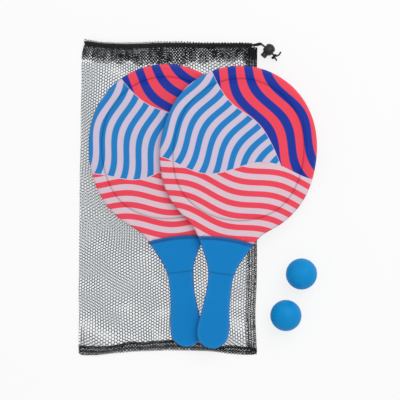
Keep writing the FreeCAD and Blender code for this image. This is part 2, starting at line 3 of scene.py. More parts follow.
import bmesh
import bpy
import numpy as np
from mathutils import Euler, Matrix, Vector


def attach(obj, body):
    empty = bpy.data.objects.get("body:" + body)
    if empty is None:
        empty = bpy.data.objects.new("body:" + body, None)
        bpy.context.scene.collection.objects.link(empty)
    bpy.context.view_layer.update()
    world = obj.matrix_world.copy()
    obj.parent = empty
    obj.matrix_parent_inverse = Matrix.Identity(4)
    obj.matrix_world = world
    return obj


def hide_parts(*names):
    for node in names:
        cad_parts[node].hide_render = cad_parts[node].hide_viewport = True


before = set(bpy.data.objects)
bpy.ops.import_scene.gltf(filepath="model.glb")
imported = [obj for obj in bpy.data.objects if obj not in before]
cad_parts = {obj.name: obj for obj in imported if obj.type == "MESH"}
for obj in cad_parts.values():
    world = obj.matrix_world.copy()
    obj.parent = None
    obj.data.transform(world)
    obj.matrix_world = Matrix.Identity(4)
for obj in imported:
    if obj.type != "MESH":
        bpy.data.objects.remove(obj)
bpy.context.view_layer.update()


# The view: the set lies flat and is seen from straight above through a long lens, 536 mm across the frame.
# Every size below is in millimetres, and MM turns it to Blender's metres.
MM = 0.001
FRAME_WIDTH = 536
FRAME_CENTRE = (3.15, -1.04)
LENS = 300
SENSOR = 36
FAR_LIMIT = 20000


def link(made):
    bpy.context.scene.collection.objects.link(made)
    return made


camera = link(bpy.data.objects.new("camera", bpy.data.cameras.new("camera")))
camera.data.lens = LENS
camera.data.sensor_width = SENSOR
camera.data.clip_end = FAR_LIMIT * MM
camera.location = Vector((*FRAME_CENTRE, FRAME_WIDTH * LENS / SENSOR)) * MM
bpy.context.scene.camera = camera
bpy.context.scene.view_settings.view_transform = "Standard"


# The table: a matt white board under an even studio sky, with one large soft lamp from the upper right.
# The board shows white to the camera and keeps a part of the shadow that falls on it.
BOARD_COLOUR = "#fbfbfa"
BOARD_HALF = 4000
BOARD_DROP = 0.3
SHADOW_SHARE = 0.22
SKY = 0.62
LAMP_POWER = 12
LAMP_SIZE = 1400
LAMP_PLACE = (600, 700, 1500)
MERGE_WITHIN = 0.002


def paint(code):
    """The linear colour of an sRGB hex value."""
    parts = [int(code[i:i + 2], 16) / 255 for i in (1, 3, 5)]
    return [p / 12.92 if p <= 0.04045 else ((p + 0.055) / 1.055) ** 2.4 for p in parts] + [1]


def add(tree, kind, *inputs, to=None, **settings):
    """Adds a node with its settings. Its inputs come in order, or by name in one dictionary. Each takes a
    value, an output, or a node for its first output in use. The new node's own may go on to an input."""
    def output_of(node):
        return next(output for output in node.outputs if output.enabled)
    made = tree.nodes.new(kind)
    for name, value in settings.items():
        setattr(made, name, value)
    named = inputs[0] if inputs and isinstance(inputs[0], dict) else dict(enumerate(inputs))
    for name, value in named.items():
        if isinstance(value, bpy.types.Node):
            value = output_of(value)
        if isinstance(value, bpy.types.NodeSocket):
            tree.links.new(value, made.inputs[name])
        else:
            made.inputs[name].default_value = value
    if to is not None:
        tree.links.new(output_of(made), to)
    return made


def new_material(name, colour, roughness, **sockets):
    """A material with one Principled shader, returned with its tree and that shader's inputs."""
    made = bpy.data.materials.new(name)
    made.use_nodes = True
    surface = made.node_tree.nodes["Principled BSDF"].inputs
    surface["Base Color"].default_value = paint(colour)
    surface["Roughness"].default_value = roughness
    for socket, value in sockets.items():
        surface[socket.replace("_", " ")].default_value = value
    return made, made.node_tree, surface


def new_piece(name, corners, faces, material, merge=True):
    """A smooth mesh from corners in mm, with its faces outward and its doubles merged."""
    mesh = bpy.data.meshes.new(name)
    mesh.from_pydata([tuple(c) for c in np.asarray(corners) * MM], [], faces)
    made = link(bpy.data.objects.new(name, mesh))
    form = bmesh.new()
    form.from_mesh(mesh)
    if merge:
        bmesh.ops.remove_doubles(form, verts=form.verts, dist=MERGE_WITHIN * MM)
    bmesh.ops.recalc_face_normals(form, faces=form.faces)
    form.to_mesh(mesh)
    form.free()
    mesh.shade_smooth()
    mesh.materials.append(material)
    return made


board_paint, tree, surface = new_material("matt white board", BOARD_COLOUR, 0.9)
ray = add(tree, "ShaderNodeLightPath").outputs
shown = add(tree, "ShaderNodeMath", ray["Is Camera Ray"], 1 - SHADOW_SHARE, operation="MULTIPLY")
mirrored = add(tree, "ShaderNodeMath", ray["Is Glossy Ray"], ray["Is Transmission Ray"],
               operation="MAXIMUM")
white = add(tree, "ShaderNodeMath", shown, mirrored, operation="MAXIMUM")
glow = add(tree, "ShaderNodeEmission", {"Color": (1, 1, 1, 1), "Strength": 1})
add(tree, "ShaderNodeMixShader", white, tree.nodes["Principled BSDF"], glow,
    to=tree.nodes["Material Output"].inputs["Surface"])
board = new_piece("board", [(x * BOARD_HALF, y * BOARD_HALF, -BOARD_DROP)
                            for x, y in ((-1, -1), (1, -1), (1, 1), (-1, 1))], [(0, 1, 2, 3)], board_paint)

sky = bpy.data.worlds.new("studio sky")
sky.use_nodes = True
bpy.context.scene.world = sky
back = sky.node_tree.nodes["Background"].inputs
back["Color"].default_value = (1, 1, 1, 1)
ray = add(sky.node_tree, "ShaderNodeLightPath").outputs
add(sky.node_tree, "ShaderNodeMapRange", {"Value": ray["Is Camera Ray"], "To Min": SKY, "To Max": 1.0},
    to=back["Strength"])

lamp = link(bpy.data.objects.new("soft lamp", bpy.data.lights.new("soft lamp", "AREA")))
lamp.data.shape = "SQUARE"
lamp.data.size = LAMP_SIZE * MM
lamp.data.energy = LAMP_POWER
lamp.location = Vector(LAMP_PLACE) * MM
lamp.rotation_euler = (-Vector(LAMP_PLACE)).to_track_quat("-Z", "Y").to_euler()


# The bag's two layers: hexagonal net, warp-knitted in black polyester yarn and heat-set.
# Each is cut straight, laid flat on the other, and sewn in at the foot, where the seam line is bowed.
BAG_LEFT = -159.5
BAG_RIGHT = 79.5
NET_LEFT = -158.6
NET_RIGHT = 68.5
NET_TOP_BACK = 202.4
NET_TOP_FRONT = 184.0
# The layers float a little over the table, in waves of this height and length.
NET_FLOAT, NET_FLOAT_LENGTH = 0.25, 40
BACK_Z = 0.45
FRONT_Z = 1.45
FOLD_Z = 0.95
FOLD_WIDTH = 4
HEX_SIDE = 2.35
FRONT_LOOSER = 1.012
YARN = 0.66
# How far the net's lines stray from straight, and over what length.
NET_STRAY = (9.0, 7.0, 0.0)
NET_STRAY_LENGTH = 55.0
# The net is cut to a bow at its foot. The sewn seam wanders about it, by as much as this along the foot, and
# the net gives way to that over a few rows.
SEAM_SIDE_Y = -197.2
SEAM_MIDDLE_Y = -191.8
SEAM_WANDER_X = (-155, -142, -131, -121, -114, -101, -88, -80, -73, -63, -54, -44, -36, -17, 2, 29, 39, 79)
SEAM_WANDER_Y = (0.5, -3.1, -3.8, -4.4, -3.6, -1.1, 1.4, 0.0, -2.0, 0.4, 0.6, 1.0, 3.0, 1.0, -1.5, -4.5, -3.0,
                 -3.3)
SEAM_SMOOTHING = (-4, 0, 4)
SEAM_GIVE = 25
# The left edge leans in, most of all at the mouth: how far, from what height to what, and with what power.
LEANS = ((1.0, -120, 0, 1), (3.1, 0, 190, 1), (3.3, 182, 202, 2))
LEAN_REACH = 90
# The right edge waists near its foot: by how much, where, and over what height.
WAIST_DEPTH, WAIST_Y, WAIST_HEIGHT = 2.2, -155, 35
# Single yarns are painted slate, lighter than the black yarn, as painted light for the sky seen through their
# fine filaments; bunched, they read as black.
SINGLE_YARN_PAINTED_LIGHTER = ("#0e2a38", "#245f7a")
BUNCHED_YARN = ("#0f1316", "#262d31")


def grained(tree, surface, size, depth, strength, detail=2):
    """Gives a surface its fine grain, of this size and depth in mm."""
    place = add(tree, "ShaderNodeTexCoord").outputs["Object"]
    grain = add(tree, "ShaderNodeTexNoise", {"Vector": place, "Scale": 1 / (size * MM), "Detail": detail})
    add(tree, "ShaderNodeBump", {"Height": grain, "Distance": depth * MM, "Strength": strength},
        to=surface["Normal"])


def mottled(tree, surface, size, detail, dark, light):
    """Gives a surface two tones in soft patches of this size in mm, and returns the patches."""
    place = add(tree, "ShaderNodeTexCoord").outputs["Object"]
    patches = add(tree, "ShaderNodeTexNoise", {"Vector": place, "Scale": 1 / (size * MM), "Detail": detail})
    add(tree, "ShaderNodeMix", {0: patches, 6: paint(dark), 7: paint(light)}, to=surface["Base Color"],
        data_type="RGBA")
    return patches


def group(name, inputs):
    """A Geometry Nodes tree with named inputs, returned with its input sockets and its output's input."""
    tree = bpy.data.node_groups.new(name, "GeometryNodeTree")
    tree.interface.new_socket("Geometry", in_out="INPUT", socket_type="NodeSocketGeometry")
    for socket, kind in inputs.items():
        tree.interface.new_socket(socket, in_out="INPUT", socket_type="NodeSocket" + kind)
    tree.interface.new_socket("Geometry", in_out="OUTPUT", socket_type="NodeSocketGeometry")
    return tree, add(tree, "NodeGroupInput").outputs, add(tree, "NodeGroupOutput").inputs[0]


def grown(name, tree, values, corners=(), up=None):
    """The mesh that a tree makes from its inputs and a line of corners in mm, as a plain mesh in mm."""
    line = bpy.data.meshes.new(name)
    line.from_pydata([tuple(c) for c in corners], [(i, i + 1) for i in range(len(corners) - 1)], [])
    if up is not None:
        line.attributes.new("up", "FLOAT_VECTOR", "POINT").data.foreach_set("vector", np.ravel(up))
    carrier = link(bpy.data.objects.new(name, line))
    modifier = carrier.modifiers.new(name, "NODES")
    modifier.node_group = tree
    for socket in tree.interface.items_tree:
        if socket.in_out == "INPUT" and socket.name in values:
            modifier[socket.identifier] = values[socket.name]
    ready = carrier.evaluated_get(bpy.context.evaluated_depsgraph_get())
    mesh = bpy.data.meshes.new_from_object(ready)
    bpy.data.objects.remove(carrier)
    mesh.materials.clear()
    mesh.materials.append(values["Material"])
    mesh.polygons.foreach_set("material_index", [0] * len(mesh.polygons))
    return mesh


def corners_of(mesh):
    flat = np.zeros(len(mesh.vertices) * 3)
    mesh.vertices.foreach_get("co", flat)
    return flat.reshape(-1, 3)


def placed(name, mesh, corners):
    """An object from a plain mesh, with its corners moved to these places in mm."""
    mesh.vertices.foreach_set("co", (corners * MM).ravel())
    mesh.update()
    mesh.shade_smooth()
    mesh.name = name
    return link(bpy.data.objects.new(name, mesh))


def joined(name, pieces):
    """One object from several, which are removed."""
    form = bmesh.new()
    for one in pieces:
        form.from_mesh(one.data)
    mesh = bpy.data.meshes.new(name)
    form.to_mesh(mesh)
    form.free()
    mesh.materials.append(pieces[0].data.materials[0])
    for one in pieces:
        bpy.data.objects.remove(one)
    return link(bpy.data.objects.new(name, mesh))


def fixed(piece, body, slot, *nodes):
    """Fixes a piece to its body and hides the CAD nodes that it stands for. Its slot is not used."""
    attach(piece, body)
    if nodes:
        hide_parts(*nodes)


net_yarns = []
# The single yarns' slate is painted light; the bunched yarns keep the yarn's own black.
for look, (dark, light) in (("single, painted lighter", SINGLE_YARN_PAINTED_LIGHTER), ("bunched", BUNCHED_YARN)):
    yarn, tree, surface = new_material("knitted polyester yarn, " + look, dark, 0.62, Specular_IOR_Level=0.3)
    mottled(tree, surface, 3, 3, dark, light)
    grained(tree, surface, 0.25, 0.05, 0.6)
    net_yarns.append(yarn)

# The net's tree: a grid whose rows lean left and right in turn becomes hexagons once its long edges are cut.
# It is then cut to its bow, and its bars and zigzags are drawn as yarns.
net_tree, given, out = group("hexagonal net", {
    "Columns": "Int", "Rows": "Int", "Side": "Float", "Yarn": "Float", "Bow": "Float",
    "Drift": "Vector", "Drift Size": "Float", "Seed": "Float", "Material": "Material"})
spot = add(net_tree, "ShaderNodeSeparateXYZ", add(net_tree, "GeometryNodeInputPosition")).outputs
spans, counts = [], []
for number, way, spacing in (("Columns", "X", 1.5), ("Rows", "Y", sqrt(0.75))):
    step = add(net_tree, "ShaderNodeMath", given["Side"], spacing, operation="MULTIPLY")
    gaps = add(net_tree, "ShaderNodeMath", given[number], 1, operation="SUBTRACT")
    spans.append(add(net_tree, "ShaderNodeMath", gaps, step, operation="MULTIPLY"))
    place = add(net_tree, "ShaderNodeMath", spot[way], step, operation="DIVIDE")
    counts.append(add(net_tree, "ShaderNodeMath", gaps, 0.5, place, operation="MULTIPLY_ADD"))
wide, high = spans
grid = add(net_tree, "GeometryNodeMeshGrid", wide, high, given["Columns"], given["Rows"])
steps = add(net_tree, "ShaderNodeMath", *counts, operation="ADD")
whole = add(net_tree, "ShaderNodeMath", steps, operation="ROUND")
odd = add(net_tree, "ShaderNodeMath", whole, 2.0, operation="FLOORED_MODULO")
lean = add(net_tree, "ShaderNodeMath", odd, 0.5, operation="SUBTRACT")
shift = add(net_tree, "ShaderNodeMath", lean, given["Side"], operation="MULTIPLY")
shift = add(net_tree, "ShaderNodeMath", shift, 0.5, operation="MULTIPLY")
aside = add(net_tree, "ShaderNodeCombineXYZ", shift)
zigzag = add(net_tree, "GeometryNodeSetPosition", {"Geometry": grid, "Offset": aside})
ends = add(net_tree, "GeometryNodeInputMeshEdgeVertices").outputs
long = add(net_tree, "ShaderNodeVectorMath", ends["Position 1"], ends["Position 2"], operation="DISTANCE")
limit = add(net_tree, "ShaderNodeMath", given["Side"], 1.3, operation="MULTIPLY")
far = add(net_tree, "ShaderNodeMath", long, limit, operation="GREATER_THAN")
hexagons = add(net_tree, "GeometryNodeDeleteGeometry", zigzag, far, domain="EDGE", mode="EDGE_FACE")
share = add(net_tree, "ShaderNodeMath", spot["X"], wide, operation="DIVIDE")
square = add(net_tree, "ShaderNodeMath", share, share, operation="MULTIPLY")
fall = add(net_tree, "ShaderNodeMath", square, -4.0, 1.0, operation="MULTIPLY_ADD")
rise = add(net_tree, "ShaderNodeMath", fall, given["Bow"], operation="MULTIPLY")
foot = add(net_tree, "ShaderNodeMath", high, -0.5, rise, operation="MULTIPLY_ADD")
foot = add(net_tree, "ShaderNodeMath", foot, 0.01, operation="SUBTRACT")
below = add(net_tree, "ShaderNodeMath", spot["Y"], foot, operation="LESS_THAN")
cut = add(net_tree, "GeometryNodeDeleteGeometry", hexagons, below, domain="POINT", mode="ALL")
run = add(net_tree, "ShaderNodeVectorMath", ends["Position 1"], ends["Position 2"], operation="SUBTRACT")
run = add(net_tree, "ShaderNodeSeparateXYZ", run).outputs["Y"]
run = add(net_tree, "ShaderNodeMath", run, operation="ABSOLUTE")
bar = add(net_tree, "ShaderNodeMath", run, 0.01, operation="LESS_THAN")
parts = add(net_tree, "GeometryNodeSeparateGeometry", cut, bar, domain="EDGE").outputs
yarns = add(net_tree, "GeometryNodeJoinGeometry")
for part in ("Selection", "Inverted"):
    add(net_tree, "GeometryNodeMeshToCurve", parts[part], to=yarns.inputs[0])
noise = add(net_tree, "ShaderNodeTexNoise", {
    "Vector": add(net_tree, "GeometryNodeInputPosition"), "W": given["Seed"], "Detail": 1.0,
    "Scale": add(net_tree, "ShaderNodeMath", 1.0, given["Drift Size"], operation="DIVIDE")},
    noise_dimensions="4D").outputs["Color"]
swing = add(net_tree, "ShaderNodeVectorMath", noise, (0.5, 0.5, 0.5), operation="SUBTRACT")
drift = add(net_tree, "ShaderNodeVectorMath", swing, given["Drift"], operation="MULTIPLY")
laid = add(net_tree, "GeometryNodeSetPosition", {"Geometry": yarns, "Offset": drift})
thick = add(net_tree, "ShaderNodeMath", given["Yarn"], 0.5, operation="MULTIPLY")
round_yarn = add(net_tree, "GeometryNodeCurvePrimitiveCircle", {"Resolution": 4, "Radius": thick})
strands = add(net_tree, "GeometryNodeCurveToMesh", laid, round_yarn)
solid = add(net_tree, "GeometryNodeRealizeInstances", strands)
add(net_tree, "GeometryNodeSetMaterial", {"Geometry": solid, "Material": given["Material"]}, to=out)


def net(name, width, height, side, yarn, stray, stray_length, seed, bow=0.0, bunched=True):
    """A flat net of about this width and height about the origin, in mm."""
    return grown(name, net_tree, {
        "Columns": round(width / (1.5 * side)) + 1, "Rows": round(height / (sqrt(0.75) * side)) + 1,
        "Side": side, "Yarn": yarn, "Bow": bow, "Drift": stray, "Drift Size": stray_length, "Seed": seed,
        "Material": net_yarns[bunched]})


def bowed_y(x):
    """The line that the net is cut to at the bag's foot."""
    share = (x - (BAG_LEFT + BAG_RIGHT) / 2) / ((BAG_RIGHT - BAG_LEFT) / 2)
    return SEAM_MIDDLE_Y + (SEAM_SIDE_Y - SEAM_MIDDLE_Y) * share ** 2


def seam_y(x):
    """The seam as it is sewn along that line."""
    return bowed_y(x) + sum(np.interp(x + step, SEAM_WANDER_X, SEAM_WANDER_Y) for step in SEAM_SMOOTHING) / 3


def ripple(x, y, size, seed):
    """Smooth waves of about this size in mm, from -1 to 1, the same on every run."""
    chance = np.random.RandomState(seed)
    total = 0
    for _ in range(5):
        turn, phase = chance.uniform(0, 2 * pi), chance.uniform(0, 2 * pi)
        length = size * chance.uniform(0.7, 1.6)
        total = total + np.sin((x * cos(turn) + y * sin(turn)) * 2 * pi / length + phase)
    return total / 3


def waves(x, y, *rows):
    """Ripples laid over each other, each with a height, a size and a seed."""
    return sum(height * ripple(x, y, size, seed) for height, size, seed in rows)


def pulled(x, y):
    """X after the bag's sides are pulled in."""
    left = sum(depth * np.clip((y - low) / (high - low), 0, 1) ** power for depth, low, high, power in LEANS)
    right = WAIST_DEPTH * np.exp(-((y - WAIST_Y) / WAIST_HEIGHT) ** 2)
    return x + left * np.clip(1 - (x - BAG_LEFT) / LEAN_REACH, 0, 1) - right * np.clip(x / BAG_RIGHT, 0, 1)


def layer(name, top, z, seed, side):
    """One layer of the bag, from the bowed seam at its foot to its top edge."""
    mesh = net(name, NET_RIGHT - NET_LEFT, top - SEAM_SIDE_Y, side, YARN, NET_STRAY, NET_STRAY_LENGTH, seed,
               SEAM_MIDDLE_Y - SEAM_SIDE_Y, False)
    c = corners_of(mesh)
    c[:, 0] += (NET_LEFT + NET_RIGHT) / 2
    c[:, 1] += (top + SEAM_SIDE_Y) / 2
    above = c[:, 1] - bowed_y(c[:, 0])
    c[:, 1] += (seam_y(c[:, 0]) - bowed_y(c[:, 0])) * np.clip(1 - above / SEAM_GIVE, 0, 1)
    at_fold = np.clip((NET_LEFT + FOLD_WIDTH - c[:, 0]) / FOLD_WIDTH, 0, 1)
    lift = NET_FLOAT * ripple(c[:, 0], c[:, 1], NET_FLOAT_LENGTH, seed)
    c[:, 2] = np.maximum(c[:, 2] + z + lift, YARN / 2)
    c[:, 2] += (FOLD_Z - c[:, 2]) * at_fold ** 2
    c[:, 0] = pulled(np.maximum(c[:, 0], BAG_LEFT + 0.1), c[:, 1])
    return placed(name, mesh, c)


back_net = layer("bag_net_back", NET_TOP_BACK, BACK_Z, 3, HEX_SIDE)
front_net = layer("bag_net_front", NET_TOP_FRONT, FRONT_Z, 11, HEX_SIDE * FRONT_LOOSER)
for one, node, top, under in ((back_net, "bag_back_net", NET_TOP_BACK, []),
                              (front_net, "bag_front_net", NET_TOP_FRONT, ["bag_net_back"])):
    fixed(one, "bag", "black_net", node, "left_fold")


# Gathers under the mouth: where the drawstring draws the casing in, each layer of net bunches below it.
# The front layer climbs to its casing, and the turned-in end of the net lies behind it. The fold of the net
# stands above the cord in its casing, as a thin fringe.
GATHER_FOOT = 183.0
GATHER_TOP = 203.0
GATHER_RIGHT = 79.0
GATHER_SQUEEZE = 0.55
# Squeezing a strip narrows its yarn as well, so it starts from a fuller one. It is flattened a little too.
GATHER_YARN = 1.18
GATHER_FLAT = 0.8
GATHER_STRAY = (3.0, 2.4, 0.0)
GATHER_STRAY_LENGTH = 9.0
# The pleats: how far apart they are, how deep, and how much their lines follow the height.
PLEAT = 9.0
PLEAT_DEPTH = 0.45
PLEAT_LEAN = 0.15
FRINGE_FOOT = 207.4
FRINGE_TOP = 210.4
FRINGE_RIGHT = 73.0
# The fringe sinks towards the right: by how much, from where to where.
FRINGE_SINK, FRINGE_SINK_X = 1.1, (-25, 25)
# Where the mouth lies above or below its straight line, read along the bag's top.
MOUTH_WAVE_X = (-151, -143, -131, -104, -77, -50, -24, 3, 63, 73)
MOUTH_WAVE_Y = (3.9, 2.6, 0.6, -0.7, -0.4, 0.9, 0.9, 0.4, 0.5, 0.0)
# How far above its straight foot the bunching starts. It reaches lower in the middle, and each layer's foot
# wanders by itself.
FOOT_WAVE_X = (-155, -147, -135, -100, -66, -26, -6, 25, 61)
FOOT_WAVE_Y = (6.0, 3.5, 0.5, 0.0, -2.5, -2.5, 0.0, 1.5, 2.0)
FOOT_WANDER = 2.0
FOOT_WANDER_LENGTH = 22
# Name, seed, height above the table, climb to the casing, foot, top and right end of each strip.
GATHER_STRIPS = (
    ("front gathers", 5, 1.45, 3.6, GATHER_FOOT, GATHER_TOP, GATHER_RIGHT),
    ("turned-in end", 6, 1.15, 2.8, GATHER_FOOT + 5, GATHER_TOP, GATHER_RIGHT),
    ("back gathers, turned in", 8, 0.65, 0.4, GATHER_FOOT + 1, GATHER_TOP, GATHER_RIGHT),
    ("back gathers", 7, 0.45, 0.3, GATHER_FOOT + 3, GATHER_TOP, GATHER_RIGHT),
    ("front fringe", 37, 5.6, 0.3, FRINGE_FOOT, FRINGE_TOP, FRINGE_RIGHT),
    ("back fringe", 38, 1.4, 0.3, FRINGE_FOOT, FRINGE_TOP, FRINGE_RIGHT),
)


def gathered(name, seed, z, climb, foot, top, right):
    """A strip of net squeezed together along the mouth, in shallow upright pleats."""
    mesh = net(name, (right - NET_LEFT) / GATHER_SQUEEZE, top - foot, HEX_SIDE, GATHER_YARN, GATHER_STRAY,
               GATHER_STRAY_LENGTH, seed)
    c = corners_of(mesh)
    c[:, 0] = c[:, 0] * GATHER_SQUEEZE + (right + NET_LEFT) / 2
    c[:, 1] += (top + foot) / 2
    up = np.clip((c[:, 1] - foot) / (top - foot), 0, 1)
    pleats = PLEAT_DEPTH * up * ripple(c[:, 0], c[:, 1] * PLEAT_LEAN, PLEAT, seed)
    c[:, 2] = np.maximum(c[:, 2] * GATHER_FLAT + z + climb * up + pleats, YARN / 2)
    c[:, 0] = pulled(c[:, 0], c[:, 1])
    if foot > GATHER_TOP:
        up = 1
        c[:, 1] -= np.interp(c[:, 0], FRINGE_SINK_X, (0, FRINGE_SINK))
    c[:, 1] += up * np.interp(c[:, 0], MOUTH_WAVE_X, MOUTH_WAVE_Y)
    wander = FOOT_WANDER * ripple(c[:, 0], 0 * c[:, 0], FOOT_WANDER_LENGTH, seed + 40)
    c[:, 1] += (1 - up) * (np.interp(c[:, 0], FOOT_WAVE_X, FOOT_WAVE_Y) + wander)
    return placed(name, mesh, c)


gathers = joined("bag_gathers", [gathered(*strip) for strip in GATHER_STRIPS])
fixed(gathers, "bag", "black_net")


# Side seam: the net's two edges are turned in together and overlocked, so four or more layers lie in it.
# It is ruched a little by the overlock thread, most of all at the mouth and at the foot.
SIDE_WIDTH = 12.6
SIDE_TOP = 202.6
SIDE_END = -208.0
SIDE_FOOT = seam_y(BAG_RIGHT)
SIDE_HIGHEST = 2.4
SIDE_STRAY = (4.0, 5.0, 0.7)
SIDE_STRAY_LENGTH = 7.0
# The band's upper end climbs to the casing over this height, and its outer corner is cut off aslant.
SIDE_CLIMB_FROM = 186
SIDE_CLIMB_HEIGHT = 16
SIDE_CORNER = 5.5
SIDE_CORNER_SLOPE = 1.3
PLEAT_LEFT = -155.2
# Name, seed, left edge, width, foot, top, height above the table, how far the thread draws it together, yarn
# and climb of each layer. The last is a short doubled pleat at the other end of the foot seam.
SIDE_STRIPS = (
    ("side outer back", 21, BAG_RIGHT - SIDE_WIDTH, SIDE_WIDTH, SIDE_FOOT, SIDE_TOP, 0.5, 0.75, 0.7, 0.0),
    ("side inner back", 22, BAG_RIGHT - 10, 9.6, SIDE_FOOT, SIDE_TOP, 0.8, 0.8, 0.7, 0.0),
    ("side inner front", 23, BAG_RIGHT - 10.5, 10, SIDE_FOOT, SIDE_TOP, 1.2, 0.7, 0.7, 0.0),
    ("side outer front", 24, BAG_RIGHT - SIDE_WIDTH, SIDE_WIDTH, SIDE_FOOT, SIDE_TOP, 1.5, 0.8, 0.7, 0.0),
    ("bunch at the mouth", 25, BAG_RIGHT - 16, 16, 181, SIDE_TOP, 1.9, 0.36, 0.95, 2.0),
    ("bunch at the mouth, middle", 28, BAG_RIGHT - 15, 15, 176, SIDE_TOP, 1.5, 0.4, 0.95, 1.0),
    ("seam end in the casing", 35, BAG_RIGHT - 12, 12, 188, SIDE_TOP + 4.5, 1.6, 0.34, 0.95, 2.0),
    ("seam end in the casing, under", 36, BAG_RIGHT - 11.5, 11.5, 188, SIDE_TOP + 4, 1.2, 0.36, 0.95, 1.6),
    ("bunch at the mouth, under", 26, BAG_RIGHT - 13, 13, 168, SIDE_TOP, 1.0, 0.45, 0.9, 0.0),
    ("bunch at the foot", 27, BAG_RIGHT - 12, 11.5, SIDE_END, SIDE_FOOT + 8, 1.2, 0.34, 0.95, 0.0),
    ("bunch at the foot, under", 29, BAG_RIGHT - 11, 10.5, SIDE_END, SIDE_FOOT + 5, 0.8, 0.36, 0.95, 0.0),
    ("pleat at the foot", 39, PLEAT_LEFT, 2.4, bowed_y(PLEAT_LEFT) - 1, -171, 1.9, 0.6, 0.6, 0.0),
)


def banded(name, seed, left, width, foot, top, z, squeeze, yarn, climb):
    """An upright strip of net, squeezed along its length by the thread."""
    mesh = net(name, width, (top - foot) / squeeze, HEX_SIDE, yarn, SIDE_STRAY, SIDE_STRAY_LENGTH, seed)
    c = corners_of(mesh)
    c[:, 0] = np.clip(c[:, 0] + left + width / 2, left - 1.5, BAG_RIGHT)
    cut = top + 1 - SIDE_CORNER_SLOPE * np.maximum(c[:, 0] - BAG_RIGHT + SIDE_CORNER, 0)
    c[:, 1] = np.minimum(c[:, 1] * squeeze + (top + foot) / 2, cut)
    c[:, 2] = np.clip(c[:, 2] + z, yarn / 2, SIDE_HIGHEST)
    c[:, 2] += climb * np.clip((c[:, 1] - SIDE_CLIMB_FROM) / SIDE_CLIMB_HEIGHT, 0, 1)
    c[:, 0] = pulled(c[:, 0], c[:, 1])
    return placed(name, mesh, c)


side_band = joined("bag_side_band", [banded(*strip) for strip in SIDE_STRIPS])
fixed(side_band, "bag", "black_net", "side_seam")


# Bottom flange: below the seam both layers and their turned-in ends stick out as a limp edge.
# It hangs lower at the two corners, which are rounded.
EDGE_X = (-159.5, -137, -125, -114, -101, -87, -63, -39, -15, 5, 20, 30, 39, 49, 64, 79.5)
EDGE_Y = (-208.9, -209.2, -208.2, -206.6, -205.7, -204.2, -203.4, -202.5, -202.9, -203.5, -204.0, -205.4,
          -206.9, -207.9, -208.4, -208.4)
EDGE_SMOOTHING = (-5, 0, 5)
CORNER_RADIUS = 6
FLANGE_DEPTH = 12.6
FLANGE_SQUEEZE = 0.62
FLANGE_YARN = 1.36
FLANGE_STRAY = (3.5, 3.0, 0.6)
FLANGE_STRAY_LENGTH = 9.0
FLANGE_HIGHEST = 1.9
FLANGE_WAVE, FLANGE_WAVE_LENGTH = 0.3, 14
# Name, seed, height above the table, and the share of the flange's depth that each layer reaches.
FLANGE_STRIPS = (
    ("flange back", 31, 0.6, 1.0),
    ("flange, turned in", 33, 0.9, 0.86),
    ("flange, turned in again", 32, 1.15, 0.72),
    ("flange front", 34, 1.35, 1.0),
)


def edge_y(x):
    """The flange's lower edge, smoothed between its points, with its corners rounded."""
    level = sum(np.interp(np.asarray(x) + step, EDGE_X, EDGE_Y) for step in EDGE_SMOOTHING) / 3
    to_corner = np.clip(CORNER_RADIUS - np.minimum(x - BAG_LEFT, BAG_RIGHT - x), 0, CORNER_RADIUS)
    return level + CORNER_RADIUS - np.sqrt(np.maximum(CORNER_RADIUS ** 2 - to_corner ** 2, 0))


def flange_layer(name, seed, z, reach):
    """One layer of the flange, from the seam down to this share of its depth."""
    mesh = net(name, (BAG_RIGHT - BAG_LEFT - 1) / FLANGE_SQUEEZE, FLANGE_DEPTH, HEX_SIDE, FLANGE_YARN,
               FLANGE_STRAY, FLANGE_STRAY_LENGTH, seed)
    c = corners_of(mesh)
    c[:, 0] = np.clip(c[:, 0] * FLANGE_SQUEEZE + (BAG_LEFT + BAG_RIGHT) / 2, BAG_LEFT + 0.2, BAG_RIGHT - 0.2)
    down = np.clip(0.5 - c[:, 1] / FLANGE_DEPTH, -0.05, 1) * reach
    c[:, 1] = seam_y(c[:, 0]) * (1 - down) + edge_y(c[:, 0]) * down
    lift = FLANGE_WAVE * ripple(c[:, 0], c[:, 1], FLANGE_WAVE_LENGTH, seed)
    c[:, 2] = np.clip(c[:, 2] + z + lift, FLANGE_YARN / 2, FLANGE_HIGHEST)
    return placed(name, mesh, c)


flange = joined("bag_flange", [flange_layer(*strip) for strip in FLANGE_STRIPS])
fixed(flange, "bag", "black_net", "bottom_seam")


# Overlock: looped black thread over the seam at the foot and up the side, with a straight needle row beside
# the foot's. Each loop is a short arched length of thread, laid aslant.
THREAD_COLOUR = "#14181b"
THREAD = 0.6
SWAY = 0.12
SEWN_Z = 1.75
# The foot's row wanders a little below the seam: height, length and seed of its waves. The needle row runs
# above it, the side's row inside the bag's edge, and two short rows along the flange's corners.
FOOT_ROW_BELOW = 0.6
FOOT_ROW_WAVES = ((0.5, 26, 51), (0.35, 8, 52))
NEEDLE_ABOVE = 2.1
SIDE_ROW_IN = 1.4
EDGE_ROW_ABOVE, EDGE_ROW_Z = 0.7, 1.2
ROW_POINTS, EDGE_ROW_POINTS = 160, 24


def spun_thread(name, colour):
    """The finish of spun polyester thread."""
    made, tree, surface = new_material(name, colour, 0.7, Specular_IOR_Level=0.3)
    grained(tree, surface, 0.4, 0.06, 0.7)
    return made


black_thread = spun_thread("spun polyester thread", THREAD_COLOUR)

